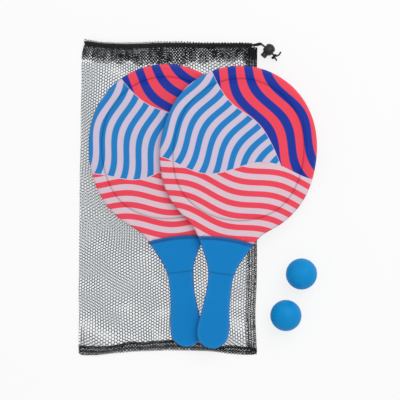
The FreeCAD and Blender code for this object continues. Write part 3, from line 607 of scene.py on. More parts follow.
stitch_tree, given, out = group("row of stitches", {
    "Pitch": "Float", "Length": "Float", "Height": "Float", "Thread": "Float", "Turn": "Float",
    "Sway": "Float", "Seed": "Int", "Material": "Material"})
line = add(stitch_tree, "GeometryNodeMeshToCurve", given["Geometry"])
places = add(stitch_tree, "GeometryNodeResampleCurve", {"Curve": line, "Length": given["Pitch"]},
             mode="LENGTH")
half_length = add(stitch_tree, "ShaderNodeMath", given["Length"], 0.5, operation="MULTIPLY")
minus_half = add(stitch_tree, "ShaderNodeMath", half_length, -1.0, operation="MULTIPLY")
arch = add(stitch_tree, "GeometryNodeCurveQuadraticBezier", {
    "Resolution": 4, "Start": add(stitch_tree, "ShaderNodeCombineXYZ", minus_half),
    "Middle": add(stitch_tree, "ShaderNodeCombineXYZ", {2: given["Height"]}),
    "End": add(stitch_tree, "ShaderNodeCombineXYZ", half_length)})
thickness = add(stitch_tree, "ShaderNodeMath", given["Thread"], 0.5, operation="MULTIPLY")
ring = add(stitch_tree, "GeometryNodeCurvePrimitiveCircle", {"Resolution": 5, "Radius": thickness})
loop = add(stitch_tree, "GeometryNodeCurveToMesh", {"Curve": arch, "Profile Curve": ring, "Fill Caps": True})
up = add(stitch_tree, "GeometryNodeInputNamedAttribute", {"Name": "up"}, data_type="FLOAT_VECTOR")
along = add(stitch_tree, "GeometryNodeInputTangent")
facing = add(stitch_tree, "FunctionNodeAxesToRotation", {"Primary Axis": up, "Secondary Axis": along},
             primary_axis="Z", secondary_axis="X")
chance = add(stitch_tree, "FunctionNodeRandomValue", {2: -1.0, 3: 1.0, "Seed": given["Seed"]},
             data_type="FLOAT")
sway = add(stitch_tree, "ShaderNodeMath", chance, given["Sway"], given["Turn"], operation="MULTIPLY_ADD")
swung = add(stitch_tree, "FunctionNodeAxisAngleToRotation", {"Axis": (0, 0, 1), "Angle": sway})
aslant = add(stitch_tree, "FunctionNodeRotateRotation", {"Rotation": facing, "Rotate By": swung},
             rotation_space="LOCAL")
sewn = add(stitch_tree, "GeometryNodeInstanceOnPoints", {
    "Points": places, "Instance": loop, "Rotation": aslant})
real = add(stitch_tree, "GeometryNodeRealizeInstances", sewn)
add(stitch_tree, "GeometryNodeSetMaterial", {"Geometry": real, "Material": given["Material"]}, to=out)


def stitched(name, corners, pitch, length, height, turn, seed, sway=SWAY, thread=THREAD, up=(0, 0, 1),
             spun=black_thread):
    """A row of thread stitches along a line in mm, each turned by this angle in degrees from the line."""
    mesh = grown(name, stitch_tree, {
        "Pitch": pitch, "Length": length, "Height": height, "Thread": thread, "Turn": radians(turn),
        "Sway": sway, "Seed": seed, "Material": spun}, corners, np.broadcast_to(up, (len(corners), 3)))
    return placed(name, mesh, corners_of(mesh))


foot_line = [(x, seam_y(x) - FOOT_ROW_BELOW + waves(x, 0, *FOOT_ROW_WAVES), SEWN_Z)
             for x in np.linspace(BAG_LEFT + 0.6, BAG_RIGHT - 1, ROW_POINTS)]
needle_line = [(x, y + NEEDLE_ABOVE, z) for x, y, z in foot_line]
side_line = [(pulled(BAG_RIGHT - SIDE_ROW_IN, y), y, SEWN_Z)
             for y in np.linspace(SIDE_FOOT, SIDE_TOP, ROW_POINTS)]
left_edge, right_edge = [[(x, edge_y(x) + EDGE_ROW_ABOVE, EDGE_ROW_Z)
                          for x in np.linspace(*ends, EDGE_ROW_POINTS)]
                         for ends in ((BAG_LEFT + 1, BAG_LEFT + 26), (BAG_RIGHT - 20, BAG_RIGHT - 1))]
# Name, line, pitch, stitch length, height of its arch, turn from the line, seed, sway and thread of each row.
overlock = joined("overlock_thread", [stitched(*row) for row in (
    ("foot loops", foot_line, 0.8, 4.0, 0.5, 68, 4, 0.3, THREAD),
    ("foot loops back", foot_line, 0.8, 4.0, 0.3, 112, 5, 0.3, THREAD),
    ("left corner edge", left_edge, 1.6, 2.6, 0.4, 8, 10, 0.3, 0.8),
    ("right corner edge", right_edge, 1.6, 2.6, 0.4, 8, 10, 0.3, 0.8),
    ("foot needle row", needle_line, 2.4, 2.2, 0.4, 0, 6, SWAY, THREAD),
    ("side loops", side_line, 2.6, 3.0, 0.4, 70, 7, 0.5, THREAD),
    ("side loops back", side_line, 2.6, 3.0, 0.3, 115, 8, 0.5, THREAD),
)])
fixed(overlock, "bag", "black_binding")


# Mouth casing: a strip of black woven polyester folded round the drawstring and sewn down over the net.
# It is one strip, ruched by the drawstring: along the front, round the fold on the left, and back behind.
CASING_LEFT = -148.4
CASING_RIGHT = 72.4
CASING_Y = 206.9
CASING_STEP = 0.8
FRONT_CORD_Z = 6.1
BACK_CORD_Z = 1.7
# Its section: a tube round the cord, whose two edges meet in a flat tail that is sewn down, with a narrow
# gap between them. Each arc of the tube has a radius, a half angle in degrees and a number of points.
TUBE_OUTSIDE, OUTSIDE_ANGLE, OUTSIDE_POINTS = 1.65, 142, 17
TUBE_INSIDE, INSIDE_ANGLE, INSIDE_POINTS = 1.3, 155, 13
TAIL_REACH = (2.2, 3.4, 4.7)
# From the first of these distances below the cord to the second, the tube turns into its tail.
TAIL_BLEND = (1.0, 2.4)
TAIL_HALF = 0.5
TAIL_GAP = 0.12
TAIL_DROP = 1.1
# The ruches of the tube's thickness and height, and of the tail's edge and lift: depth, length and seed.
THICKNESS_RUCHES = (0.13, 3.4, 41)
HEIGHT_RUCHES = (0.2, 4.42, 42)
TAIL_RUCHES = (0.45, 5.44, 43)
LIFT_RUCHES = (0.3, 3.4, 44)
LOWEST = 0.02
# The line's bends are smoothed over this many steps to each side, and its turn at the left has as many.
CASING_SMOOTHING = 8
TURN_STEPS = 8
# Where the row of stitches runs, below the cord's line and under the tube's top.
SEW_BELOW, SEW_UNDER = 2.15, 0.25
CASING_COLOUR = "#0e1113"
CASING_WORN = "#24292c"
# The tape's weave is drawn 0.9 mm wide, where real threads are 0.3. A wave texture of scale 1 repeats after
# 0.314 m.
TAPE_WEAVE = 0.9
WAVE_REPEAT = 0.314


def skin(rings, close_ends=True):
    """The faces between rings of corners, each ring closed on itself."""
    count, around, _ = rings.shape
    faces = []
    for near in range(0, (count - 1) * around, around):
        for j in range(around):
            after = (j + 1) % around
            faces.append((near + j, near + after, near + around + after, near + around + j))
    if close_ends:
        faces += [tuple(range(around)), tuple(range((count - 1) * around, count * around))]
    return rings.reshape(-1, 3), faces


def run_along(points):
    """How far along a line each of its points lies."""
    return np.concatenate([[0], np.cumsum(np.linalg.norm(np.diff(points, axis=0), axis=1))])


turn_z = (FRONT_CORD_Z + BACK_CORD_Z) / 2
turn_radius = (FRONT_CORD_Z - BACK_CORD_Z) / 2
run = np.arange(CASING_RIGHT, CASING_LEFT, -CASING_STEP)
bend = np.linspace(pi / 2, 3 * pi / 2, TURN_STEPS + 1)[1:-1]
line_x = np.concatenate([run, CASING_LEFT + turn_radius * np.cos(bend), run[::-1]])
line_y = CASING_Y + np.interp(line_x, MOUTH_WAVE_X, MOUTH_WAVE_Y)
window = 2 * CASING_SMOOTHING + 1
line_y = np.convolve(np.pad(line_y, CASING_SMOOTHING, mode="edge"), np.ones(window) / window, mode="valid")
line_z = np.concatenate([np.full(len(run), FRONT_CORD_Z), turn_z + turn_radius * np.sin(bend),
                         np.full(len(run), BACK_CORD_Z)])
outward = np.concatenate([np.full(len(run), pi / 2), bend, np.full(len(run), 3 * pi / 2)])
casing_line = np.stack([line_x, line_y, line_z], 1)

outer = np.radians(np.linspace(OUTSIDE_ANGLE, -OUTSIDE_ANGLE, OUTSIDE_POINTS))
inner = np.radians(np.linspace(-INSIDE_ANGLE, INSIDE_ANGLE, INSIDE_POINTS))
down = -np.array(TAIL_REACH)
section_a = np.concatenate([down[::-1], TUBE_OUTSIDE * np.cos(outer), down, down[::-1],
                            TUBE_INSIDE * np.cos(inner), down])
section_b = np.concatenate([[TAIL_HALF] * 3, TUBE_OUTSIDE * np.sin(outer), [-TAIL_HALF] * 3,
                            [-TAIL_GAP] * 3, TUBE_INSIDE * np.sin(inner), [TAIL_GAP] * 3])
in_tail = np.interp(-section_a, TAIL_BLEND, (0, 1))
s = run_along(casing_line)[:, None]
a = section_a[None] * (1 + waves(s, 0, HEIGHT_RUCHES)) - in_tail * waves(s, 0, TAIL_RUCHES)
b = section_b[None] * (1 + waves(s, 0, THICKNESS_RUCHES))
b = b + in_tail * (waves(s, section_a[None] * 1.5, LIFT_RUCHES) - TAIL_DROP * np.sin(outward)[:, None])
rings = np.stack([line_x[:, None] + b * np.cos(outward)[:, None], line_y[:, None] + a,
                  np.maximum(line_z[:, None] + b * np.sin(outward)[:, None], LOWEST)], 2)

casing_cloth, tree, surface = new_material("woven polyester tape", CASING_COLOUR, 0.72,
                                           Specular_IOR_Level=0.25, Sheen_Weight=0.08)
place = add(tree, "ShaderNodeTexCoord").outputs["Object"]
warp, weft = [add(tree, "ShaderNodeTexWave", {"Vector": place, "Scale": WAVE_REPEAT / (TAPE_WEAVE * MM)},
                  bands_direction=way).outputs["Fac"] for way in "XY"]
weave = add(tree, "ShaderNodeMath", warp, weft, operation="MULTIPLY")
add(tree, "ShaderNodeBump", {"Height": weave, "Distance": 0.12 * MM, "Strength": 0.8}, to=surface["Normal"])
mottled(tree, surface, 6, 4, CASING_COLOUR, CASING_WORN)

casing = new_piece("mouth_casing", *skin(rings), casing_cloth)
fixed(casing, "bag", "black_binding", "mouth_casing_back", "mouth_casing_front")

sew_line = [(x, y - SEW_BELOW, FRONT_CORD_Z - SEW_UNDER) for x, y, z in casing_line[:len(run)]]
casing_seam = stitched("casing_seam", sew_line, 2.6, 2.1, 0.5, 0, 9)
fixed(casing_seam, "bag", "black_binding")


# Drawstring: one limp braided polyester cord, 2.2 mm thick. It runs through the casing, and its two ends
# leave it at the right, climb through the cord lock one above the other, and share one overhand knot.
CORD_WIDTH = 2.2
CORD_TIP = 0.55
CORD_EXIT = (72.5, 206.9)
BRAID_PITCH = 2.6
BRAID_STRANDS = 8
CORD_COLOUR = "#101214"
CORD_RIDGE_HIGHLIGHT = "#1e2124"
KNOT_CENTRE = Vector((102.39, 190.78, 7.4))
KNOT_SIZE = 1.15
LOCK_TURN = -42.2
UPPER_ROUTE = [
    (72.5, 206.9, 6.1), (76.4, 206.9, 6.1), (80.2, 208.2, 7.1), (83.7, 208.9, 8.5), (86.01, 207.25, 9.15),
    (102.09, 192.68, 9.15), (102.99, 191.38, 7.4), (105.99, 191.68, 6.5), (108.69, 193.08, 4.0),
    (110.39, 195.18, 2.1), (111.29, 197.58, 1.3)]
LOWER_ROUTE = [
    (72.5, 206.9, 1.7), (76.4, 205.9, 1.7), (80.3, 206.0, 3.4), (83.3, 206.8, 5.7), (86.01, 207.25, 6.85),
    (102.09, 192.68, 6.85), (102.79, 189.98, 7.0), (104.19, 188.18, 5.5), (105.19, 186.88, 3.3),
    (105.79, 185.98, 1.3)]


def sine_of(tree, term, rate):
    """The sine of a term times this rate."""
    angle = add(tree, "ShaderNodeMath", term, rate, operation="MULTIPLY")
    return add(tree, "ShaderNodeMath", angle, operation="SINE")


cord_braid, tree, surface = new_material("braided polyester cord", CORD_COLOUR, 0.58, Specular_IOR_Level=0.3)
lay = add(tree, "ShaderNodeUVMap", uv_map="lay")
ridges = []
for turn in (1, -1):
    slant = add(tree, "ShaderNodeVectorMath", lay, (BRAID_STRANDS / 2, turn / BRAID_PITCH, 0),
                operation="DOT_PRODUCT")
    ridges.append(sine_of(tree, slant, 2 * pi))
crossing = add(tree, "ShaderNodeMath", *ridges, operation="MAXIMUM")
add(tree, "ShaderNodeBump", {"Height": crossing, "Distance": 0.12 * MM, "Strength": 0.9},
    to=surface["Normal"])
# Painted highlight: the braid's raised strands are painted lighter than the cord's black, in step with their
# bump.
ridge_highlight = add(tree, "ShaderNodeMapRange", {"Value": crossing, "From Min": -0.4, "From Max": 1.0})
add(tree, "ShaderNodeMix", {0: ridge_highlight, 6: paint(CORD_COLOUR), 7: paint(CORD_RIDGE_HIGHLIGHT)}, to=surface["Base Color"],
    data_type="RGBA")


def cord_line(name, route):
    """The points of one smooth NURBS line along a route in mm."""
    curve = bpy.data.curves.new(name, "CURVE")
    curve.dimensions = "3D"
    spline = curve.splines.new("NURBS")
    spline.points.add(len(route) - 1)
    for point, place in zip(spline.points, route):
        point.co = (*place, 1)
    spline.order_u = 3
    spline.use_endpoint_u = True
    spline.resolution_u = 10
    carrier = link(bpy.data.objects.new(name, curve))
    ready = carrier.evaluated_get(bpy.context.evaluated_depsgraph_get())
    points = corners_of(bpy.data.meshes.new_from_object(ready))
    bpy.data.objects.remove(carrier)
    return points


def cord_tube(name, points, closed=False, sides=12):
    """A braided cord along points in mm, with its lay in a UV map: turns round it, and mm along it."""
    points = np.asarray(points, float)
    after, before = np.roll(points, -1, 0), np.roll(points, 1, 0)
    radii = np.full(len(points), CORD_WIDTH / 2)
    if not closed:
        after[-1], before[0] = points[-1], points[0]
        radii[-1] *= CORD_TIP
    tangents = after - before
    tangents /= np.linalg.norm(tangents, axis=1)[:, None]
    normal = np.cross(tangents[0], (0.3, 0.2, 1.0))
    angles = np.linspace(0, 2 * pi, sides, endpoint=False)[:, None]
    rings = []
    for point, tangent, radius in zip(points, tangents, radii):
        normal = normal - tangent * normal.dot(tangent)
        normal /= np.linalg.norm(normal)
        rings.append(point + radius * (np.cos(angles) * normal + np.sin(angles) * np.cross(tangent, normal)))
    corners, faces = skin(np.array(rings), close_ends=not closed)
    if closed:
        last = (len(points) - 1) * sides
        shift = int(np.argmin(np.linalg.norm(rings[0] - rings[-1][0], axis=1)))
        faces += [(last + j, last + (j + 1) % sides, (j + 1 + shift) % sides, (j + shift) % sides)
                  for j in range(sides)]
    made = new_piece(name, corners, faces, cord_braid, merge=False)
    steps = run_along(points)
    uv = made.data.uv_layers.new(name="lay").data
    for face in made.data.polygons:
        for corner, vertex in zip(face.loop_indices, face.vertices):
            turn = vertex % sides
            if turn == 0 and face.index % sides == sides - 1:
                turn = sides
            uv[corner].uv = (turn / sides, steps[vertex // sides])
    return made


in_casing = casing_line[::2].copy()
in_casing[0], in_casing[-1] = (*CORD_EXIT, FRONT_CORD_Z), (*CORD_EXIT, BACK_CORD_Z)
drawstring = cord_tube("drawstring_in_casing", in_casing, sides=8)
fixed(drawstring, "bag", "cord", "drawstring")

# The knot is a trefoil about the lock's own line.
angles = np.linspace(0, 2 * pi, 96, endpoint=False)
along = np.array([cos(radians(LOCK_TURN)), sin(radians(LOCK_TURN)), 0])
across = np.array([along[1], -along[0], 0])
trefoil = (np.outer(np.sin(angles) + 2 * np.sin(2 * angles), across)
           + np.outer(np.cos(angles) - 2 * np.cos(2 * angles), (0, 0, 1))
           - np.outer(np.sin(3 * angles), along)) * KNOT_SIZE
knot = cord_tube("drawstring_knot", trefoil + np.array(KNOT_CENTRE), closed=True)
fixed(knot, "bag", "cord", "knot")

for name, route, nodes, length, on_it in (
        ("drawstring_upper_end", UPPER_ROUTE, ("drawstring_end_upper", "knot_long_tail"), 50,
         [knot, "lock_body", "lock_button", "lock_spring"]),
        ("drawstring_lower_end", LOWER_ROUTE, ("drawstring_end_lower", "knot_short_tail"), 46, [])):
    points = cord_line(name, route)
    end = cord_tube(name, points)
    fixed(end, "bag", "cord", *nodes)


# Cord lock: a ball moulded in glossy black acetal, with a push button of the same in its blind bore
# and a coil spring of drawn steel wire behind it. The moulded skin is faintly uneven and rubbed.
LOCK_COLOUR = "#141719"
LOCK_WORN = "#24282b"
WIRE_COLOUR = "#b9bcc0"

lock_acetal, tree, surface = new_material("moulded acetal", LOCK_COLOUR, 0.42, IOR=1.48)
scuffs = mottled(tree, surface, 2.5, 5, LOCK_COLOUR, LOCK_WORN)
add(tree, "ShaderNodeMapRange", {"Value": scuffs, "To Min": 0.36, "To Max": 0.52}, to=surface["Roughness"])
grained(tree, surface, 0.9, 0.03, 0.5, 1)

spring_wire, tree, surface = new_material("drawn spring steel", WIRE_COLOUR, 0.3, Metallic=1.0)
grained(tree, surface, 0.3, 0.01, 0.4)


def finish_node(node, material):
    """Gives a CAD node its material."""
    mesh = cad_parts[node].data
    mesh.materials.clear()
    mesh.materials.append(material)


finish_node("lock_body", lock_acetal)
finish_node("lock_button", lock_acetal)
finish_node("lock_spring", spring_wire)


# Paddle covers: each paddle is a moulded plate with a foam pad in its window, sewn into 2 mm neoprene that is
# faced with polyester jersey. The head's jersey is printed. The grip's sleeve is plain blue, its hem folded.
PADDLE_LENGTH = 380
HEAD_WIDTH = 209
SIDE_RADIUS, SIDE_ANGLE = 145, 17.5
LOWER_RADIUS, LOWER_ANGLE = 104, 15.3
NECK_RADIUS, NECK_ANGLE, NECK_LINE = 58, 53.5, 7.5
FLARE_RADIUS, THROAT_ANGLE = 77, 27.8
WAIST_WIDTH, FOOT_WIDTH = 32.4, 42.8
HALF_THICK = 5.5
# The place of each paddle: its handle's end, its middle plane, and how far it leans from straight up.
PADDLES = {"rear": (-12.5, -197.5, 7.7, 6.25), "front": (17.2, -199.1, 19.0, -8.06)}
# The hem lies on a circle about a point of the handle. How deep it is folded, how far it stands up, where the
# sleeve ends its flat spine, and how far the rings draw in from the hem on their way up the rim and past it.
HEM_CENTRE_Y, HEM_RADIUS = -40.5, 190
HEM_DEPTH, HEM_RISE, HEM_FLAT = 4.5, 0.45, 140
# The fold rises from its edge over one range of distances in from the hem's line, and ends over the other.
HEM_EDGE, HEM_END = (-0.28, 0.52), (4.5, 5.4)
HEM_RINGS = (0, 0, 0, 0, 0.05, 0.15, 0.35, 0.7, 1.3, 2.2, 3.4, 4.2)
HEM_FACE_RINGS = ((0.4, 4.7), (0.8, 5.1), (1.2, 5.6), (1.6, 6.2))
HANDLE_CREASE_Y, HANDLE_CREASE_DEPTH = 100.5, 0.55
# The head's crease follows the rim, and a circle below. It is narrow, with soft shoulders.
HEAD_CENTRE_Y = 275
CREASE_INSET = 17.5
CREASE_CENTRE_Y, CREASE_FOOT_RADIUS = 273, 100
CREASE_DEPTH, CREASE_WIDTH = 0.9, 1.25
CREASE_BLEND = 1.5
SHOULDER_DEPTH, SHOULDER_WIDTH = 0.25, 5.0
# Rings of the head's face: shares of the way from the crease to the rim, steps of the crease's width about it
# (outward first), and shares of the way from there to the centre.
OUTER_RINGS = (0.86, 0.72, 0.58)
CREASE_RINGS = (3.6, 2.6, 1.9, 1.4, 1, 0.7, 0.4, 0.15, -0.15, -0.4, -0.7, -1, -1.4, -1.9, -2.6, -4, -6, -8)
INNER_RINGS = (0.9, 0.78, 0.66, 0.54, 0.42, 0.3, 0.18, 0.08)
SPINE_RINGS = (0.94, 0.87, 0.8, 0.7, 0.55, 0.4, 0.25, 0.1)
# The rim's rounding, from the flat face out and down to the middle: how far in, and the share of the
# thickness. The two halves meet there in a fine seam.
RIM = ((6.4, 1.0), (4.8, 0.992), (3.5, 0.975), (2.5, 0.945), (1.7, 0.9), (1.05, 0.83), (0.55, 0.73),
       (0.2, 0.58), (0.04, 0.4), (0.0, 0.22), (0.08, 0.09), (0.4, 0.0))
# The unevenness below the cloth, as height, length and seed of its waves.
HEAD_SWELLS = ((0.14, 52, 61), (0.05, 15, 62))
GRIP_SWELLS = ((0.07, 30, 63),)
# Where the cloth is rubbed, as a share of the half thickness, and over what share.
RUB_AT, RUB_OVER = 0.88, 0.09
OUTLINE_STEPS = 230
HEM_STEPS = 44


def heading(angle):
    return np.array([cos(radians(angle)), sin(radians(angle))])


def half_outline(step=0.5):
    """Points and inward normals of the paddle's right half, from the middle of its foot to its top, in mm."""
    top = SIDE_RADIUS - (SIDE_RADIUS - HEAD_WIDTH / 2) / cos(radians(SIDE_ANGLE))
    top_centre = np.array([0, PADDLE_LENGTH - top])
    side_centre = top_centre - heading(SIDE_ANGLE) * (SIDE_RADIUS - top)
    lower_centre = side_centre + heading(-LOWER_ANGLE) * (SIDE_RADIUS - LOWER_RADIUS)
    neck_top = lower_centre + heading(-NECK_ANGLE) * LOWER_RADIUS - heading(90 - NECK_ANGLE) * NECK_LINE
    neck_centre = neck_top + heading(-NECK_ANGLE) * NECK_RADIUS
    throat_top = neck_centre - heading(-THROAT_ANGLE) * NECK_RADIUS
    flare_x = WAIST_WIDTH / 2 + FLARE_RADIUS * (1 - cos(radians(THROAT_ANGLE)))
    throat_line = (throat_top[0] - flare_x) / sin(radians(THROAT_ANGLE))
    flare_top = throat_top - heading(90 - THROAT_ANGLE) * throat_line
    flare_centre = flare_top + heading(-THROAT_ANGLE) * FLARE_RADIUS
    foot, waist_y = FOOT_WIDTH / 2, flare_centre[1]
    half_turn = atan2(foot - WAIST_WIDTH / 2, waist_y - foot)
    hip_sum = (waist_y - foot) / sin(2 * half_turn)
    hip, waist, turn = hip_sum / 3, hip_sum * 2 / 3, degrees(2 * half_turn)
    arcs = [((0, foot), foot, -90, 0, 1), ((foot - hip, foot), hip, 0, turn, 1),
            ((WAIST_WIDTH / 2 + waist, waist_y), waist, 180 + turn, 180, -1),
            (flare_centre, FLARE_RADIUS, 180, 180 - THROAT_ANGLE, -1),
            (neck_centre, NECK_RADIUS, 180 - THROAT_ANGLE, 180 - NECK_ANGLE, -1),
            (lower_centre, LOWER_RADIUS, -NECK_ANGLE, -LOWER_ANGLE, 1),
            (side_centre, SIDE_RADIUS, -LOWER_ANGLE, SIDE_ANGLE, 1), (top_centre, top, SIDE_ANGLE, 90, 1)]
    points, normals = [], []
    for centre, radius, first, last, side in arcs:
        count = max(int(radius * radians(abs(last - first)) / step), 2)
        for angle in np.linspace(first, last, count):
            points.append(np.array(centre) + heading(angle) * radius)
            normals.append(-side * heading(angle))
    return np.array(points), np.array(normals)


outline_points, outline_normals = half_outline()
outline_run = run_along(outline_points)


def contour(inset, above, hem_inset=0.0):
    """A closed loop of the outline drawn in by inset and cut at the hem: the part above it, or below it."""
    hem_reach = HEM_RADIUS - hem_inset
    drawn_in = outline_points + inset * outline_normals
    past = np.hypot(drawn_in[:, 0], drawn_in[:, 1] - HEM_CENTRE_Y) - hem_reach
    first = int(np.argmax(past > 0))
    share = past[first - 1] / (past[first - 1] - past[first])
    crossing = outline_run[first - 1] + share * (outline_run[first] - outline_run[first - 1])
    ends = (crossing, outline_run[-1]) if above else (crossing, 0)
    runs = np.linspace(*ends, OUTLINE_STEPS)
    right = np.stack([np.interp(runs, outline_run, across) for across in drawn_in.T], 1)
    right[-1, 0] = 0
    left = right[-2::-1] * (-1, 1)
    turn = degrees(atan2(right[0, 1] - HEM_CENTRE_Y, right[0, 0]))
    hem = [heading(a) * hem_reach + (0, HEM_CENTRE_Y) for a in np.linspace(180 - turn, turn, HEM_STEPS)[1:-1]]
    return np.concatenate([right, left, hem])


def crease_reach(angles):
    """How far the crease lies from the head's centre at these angles."""
    inner = outline_points + CREASE_INSET * outline_normals
    inner = inner[inner[:, 1] > CREASE_CENTRE_Y - CREASE_FOOT_RADIUS - 20]
    inner = np.concatenate([inner, inner * (-1, 1)]) - (0, HEAD_CENTRE_Y)
    around = np.arctan2(inner[:, 1], inner[:, 0])
    order = np.argsort(around)
    rim = np.interp(angles, around[order], np.hypot(*inner.T)[order], period=2 * pi)
    offset = CREASE_CENTRE_Y - HEAD_CENTRE_Y
    foot = offset * np.sin(angles) + np.sqrt(CREASE_FOOT_RADIUS ** 2 - (offset * np.cos(angles)) ** 2)
    return -CREASE_BLEND * np.logaddexp(-rim / CREASE_BLEND, -foot / CREASE_BLEND)


def level(loop, share):
    """A closed loop at this share of the half thickness."""
    return np.column_stack([loop, np.full(len(loop), HALF_THICK * share)])


def head_rings():
    """The rings of the head cover's top half, from its middle plane over rim and crease to the centre."""
    rings = [level(contour(inset, True), share) for inset, share in reversed(RIM)]
    edge = rings[-1][:, :2] - (0, HEAD_CENTRE_Y)
    rim = np.hypot(*edge.T)
    angles = np.arctan2(edge[:, 1], edge[:, 0])
    crease = crease_reach(angles)
    away = [crease + (rim - crease) * share for share in OUTER_RINGS]
    away += [crease + step * CREASE_WIDTH for step in CREASE_RINGS]
    away += [away[-1] * share for share in INNER_RINGS]
    for reach in away:
        far = np.abs(reach - crease)
        z = HALF_THICK - CREASE_DEPTH * np.exp(-(far / CREASE_WIDTH) ** 2)
        z -= SHOULDER_DEPTH * np.exp(-(far / SHOULDER_WIDTH) ** 2)
        rings.append(np.column_stack([reach * np.cos(angles), HEAD_CENTRE_Y + reach * np.sin(angles), z]))
    return rings


def grip_rings():
    """The rings of the grip sleeve's top half, from its middle plane over the rim to its spine."""
    rings = [level(contour(inset, False, hem_inset), share)
             for (inset, share), hem_inset in zip(reversed(RIM), HEM_RINGS)]
    rings += [level(contour(RIM[0][0] + more, False, hem_inset), 1) for more, hem_inset in HEM_FACE_RINGS]
    edge = rings[-1]
    spine = np.column_stack([0 * edge[:, 0], np.clip(edge[:, 1], FOOT_WIDTH / 2, HEM_FLAT), edge[:, 2]])
    return rings + [spine + (edge - spine) * share for share in SPINE_RINGS]


def head_swell(x, y):
    """How far the head's cloth stands off its plain form: the foam below is a little uneven."""
    return waves(x, y, *HEAD_SWELLS)


def grip_swell(x, y):
    """The folded hem stands up by its second layer, and a faint crease crosses the handle."""
    fold = HEM_RADIUS - np.hypot(x, y - HEM_CENTRE_Y)
    hem = HEM_RISE * np.interp(fold, HEM_END, (1, 0)) * np.interp(fold, HEM_EDGE, (0, 1))
    return hem - HANDLE_CREASE_DEPTH * np.exp(-(y - HANDLE_CREASE_Y) ** 2) + waves(x, y, *GRIP_SWELLS)


def on_paddle(paddle, local):
    """Places on a paddle, in mm from its handle's end and its middle plane, as places on the table."""
    foot_x, foot_y, middle_z, lean = PADDLES[paddle]
    local = np.array(local, float)
    local[:, :2] = local[:, :2] @ np.array([heading(lean), heading(lean + 90)])
    return local + (foot_x, foot_y, middle_z)


def rim_rub(z):
    """Where a cover is rubbed, high on its rim."""
    return np.exp(-((np.abs(z) / HALF_THICK - RUB_AT) / RUB_OVER) ** 2)


def head_shade_and_rub(x, y, z):
    """Where painted shade darkens the head's cloth in the crease, and where it is rubbed on the rim."""
    far = np.abs(np.hypot(x, y - HEAD_CENTRE_Y) - crease_reach(np.arctan2(y - HEAD_CENTRE_Y, x)))
    return np.exp(-far ** 2) * (np.abs(z) > HALF_THICK * 0.7), rim_rub(z) * (far > 6)


def grip_shade_and_rub(x, y, z):
    """Where painted shade darkens the sleeve, in its crease and just below its hem's raised edge, and where
    it is rubbed on the rim.
    """
    below_hem = HEM_RADIUS - np.hypot(x, y - HEM_CENTRE_Y) - HEM_DEPTH - 0.6
    crease = np.exp(-((y - HANDLE_CREASE_Y) / 0.9) ** 2) + 0.6 * np.exp(-(below_hem / 0.6) ** 2)
    return crease, rim_rub(z)


def cover(name, rings, swell, shade_and_rub, paddle, material):
    """A closed padded shell from the rings of its top half, mirrored below and laid in the paddle's place."""
    around = len(rings[0])
    top, faces = skin(np.array(rings), close_ends=False)
    below = len(top)
    faces += [tuple(below + corner for corner in reversed(face)) for face in faces]
    faces += [tuple(range(end - around, end)) for end in (below, 2 * below)]
    made = new_piece(name, np.concatenate([top, top * (1, 1, -1)]), faces, material)
    flat = corners_of(made.data)
    plan = made.data.attributes.new("plan", "FLOAT_VECTOR", "POINT")
    plan.data.foreach_set("vector", flat.ravel())
    outward = np.array([vertex.normal for vertex in made.data.vertices])
    flat = flat / MM
    # The "fold" mark is painted shade in the creases and under the hem's edge; the "rub" mark is wear.
    for mark, strength in zip(("fold", "rub"), shade_and_rub(*flat.T)):
        made.data.attributes.new(mark, "FLOAT", "POINT").data.foreach_set("value", strength)
    flat += outward * swell(flat[:, 0], flat[:, 1])[:, None]
    made.data.vertices.foreach_set("co", (on_paddle(paddle, flat) * MM).ravel())
    made.data.update()
    return made


# The print is a plain design of striped fields with wavy borders. A field has a stripe period, a direction,
# the height and length of its waves, and two inks. A thin unprinted line runs between the fields.
CORAL, NAVY, AZURE = "#fb4b60", "#1a38a4", "#1f86d0"
BLUSH, FROST = "#e8cfdb", "#dccde4"
STRIPES = ((24.0, 36, 8.0, 125, CORAL, NAVY), (17.0, -24, 6.0, 110, AZURE, FROST),
           (15.6, 82, 4.5, 115, CORAL, BLUSH))
# Where each border crosses the head's middle, its slope, and the height and length of its waves.
BORDERS = ((318, -1.15, 14, 130), (243, 0.08, 10, 150))
FIELD_LINE = 0.8
INK_EDGE = 0.12
INK_BLEED = 0.2
# Jersey is slightly uneven, darkened by painted shade in its folds and creases, and paler where it is rubbed.
# Its wales are drawn 0.9 mm apart where real ones are 0.5, over the soft unevenness of the foam below.
WALES = 0.9
BLOTCH, HEATHER = 34, 1.6
# Painted shade: the share by which creases go towards a near-black, and that colour.
CREASE_SHADE_PAINTED = 0.34
RUB_PALE = 0.05
CREASE_SHADE_COLOUR = "#101018"
RUB_COLOUR = "#d8d8e0"

printed_jersey, tree, surface = new_material("printed polyester jersey", CORAL, 0.75, Specular_IOR_Level=0.12)
plan = add(tree, "ShaderNodeAttribute", attribute_name="plan").outputs["Vector"]
axes = add(tree, "ShaderNodeSeparateXYZ", plan).outputs
fields = []
for period, turn, sway, sway_length, first_ink, second_ink in STRIPES:
    across = add(tree, "ShaderNodeVectorMath", plan, (*heading(turn), 0), operation="DOT_PRODUCT")
    run = add(tree, "ShaderNodeVectorMath", plan, (*heading(turn + 90), 0), operation="DOT_PRODUCT")
    bend = sine_of(tree, run, 2 * pi / (sway_length * MM))
    bent = add(tree, "ShaderNodeMath", bend, sway * MM, across, operation="MULTIPLY_ADD")
    wave = sine_of(tree, bent, 2 * pi / (period * MM))
    ink = add(tree, "ShaderNodeMapRange", {"Value": wave, "From Min": -INK_EDGE, "From Max": INK_EDGE})
    fields.append(add(tree, "ShaderNodeMix", {0: ink, 6: paint(first_ink), 7: paint(second_ink)},
                      data_type="RGBA"))
shown = fields[0]
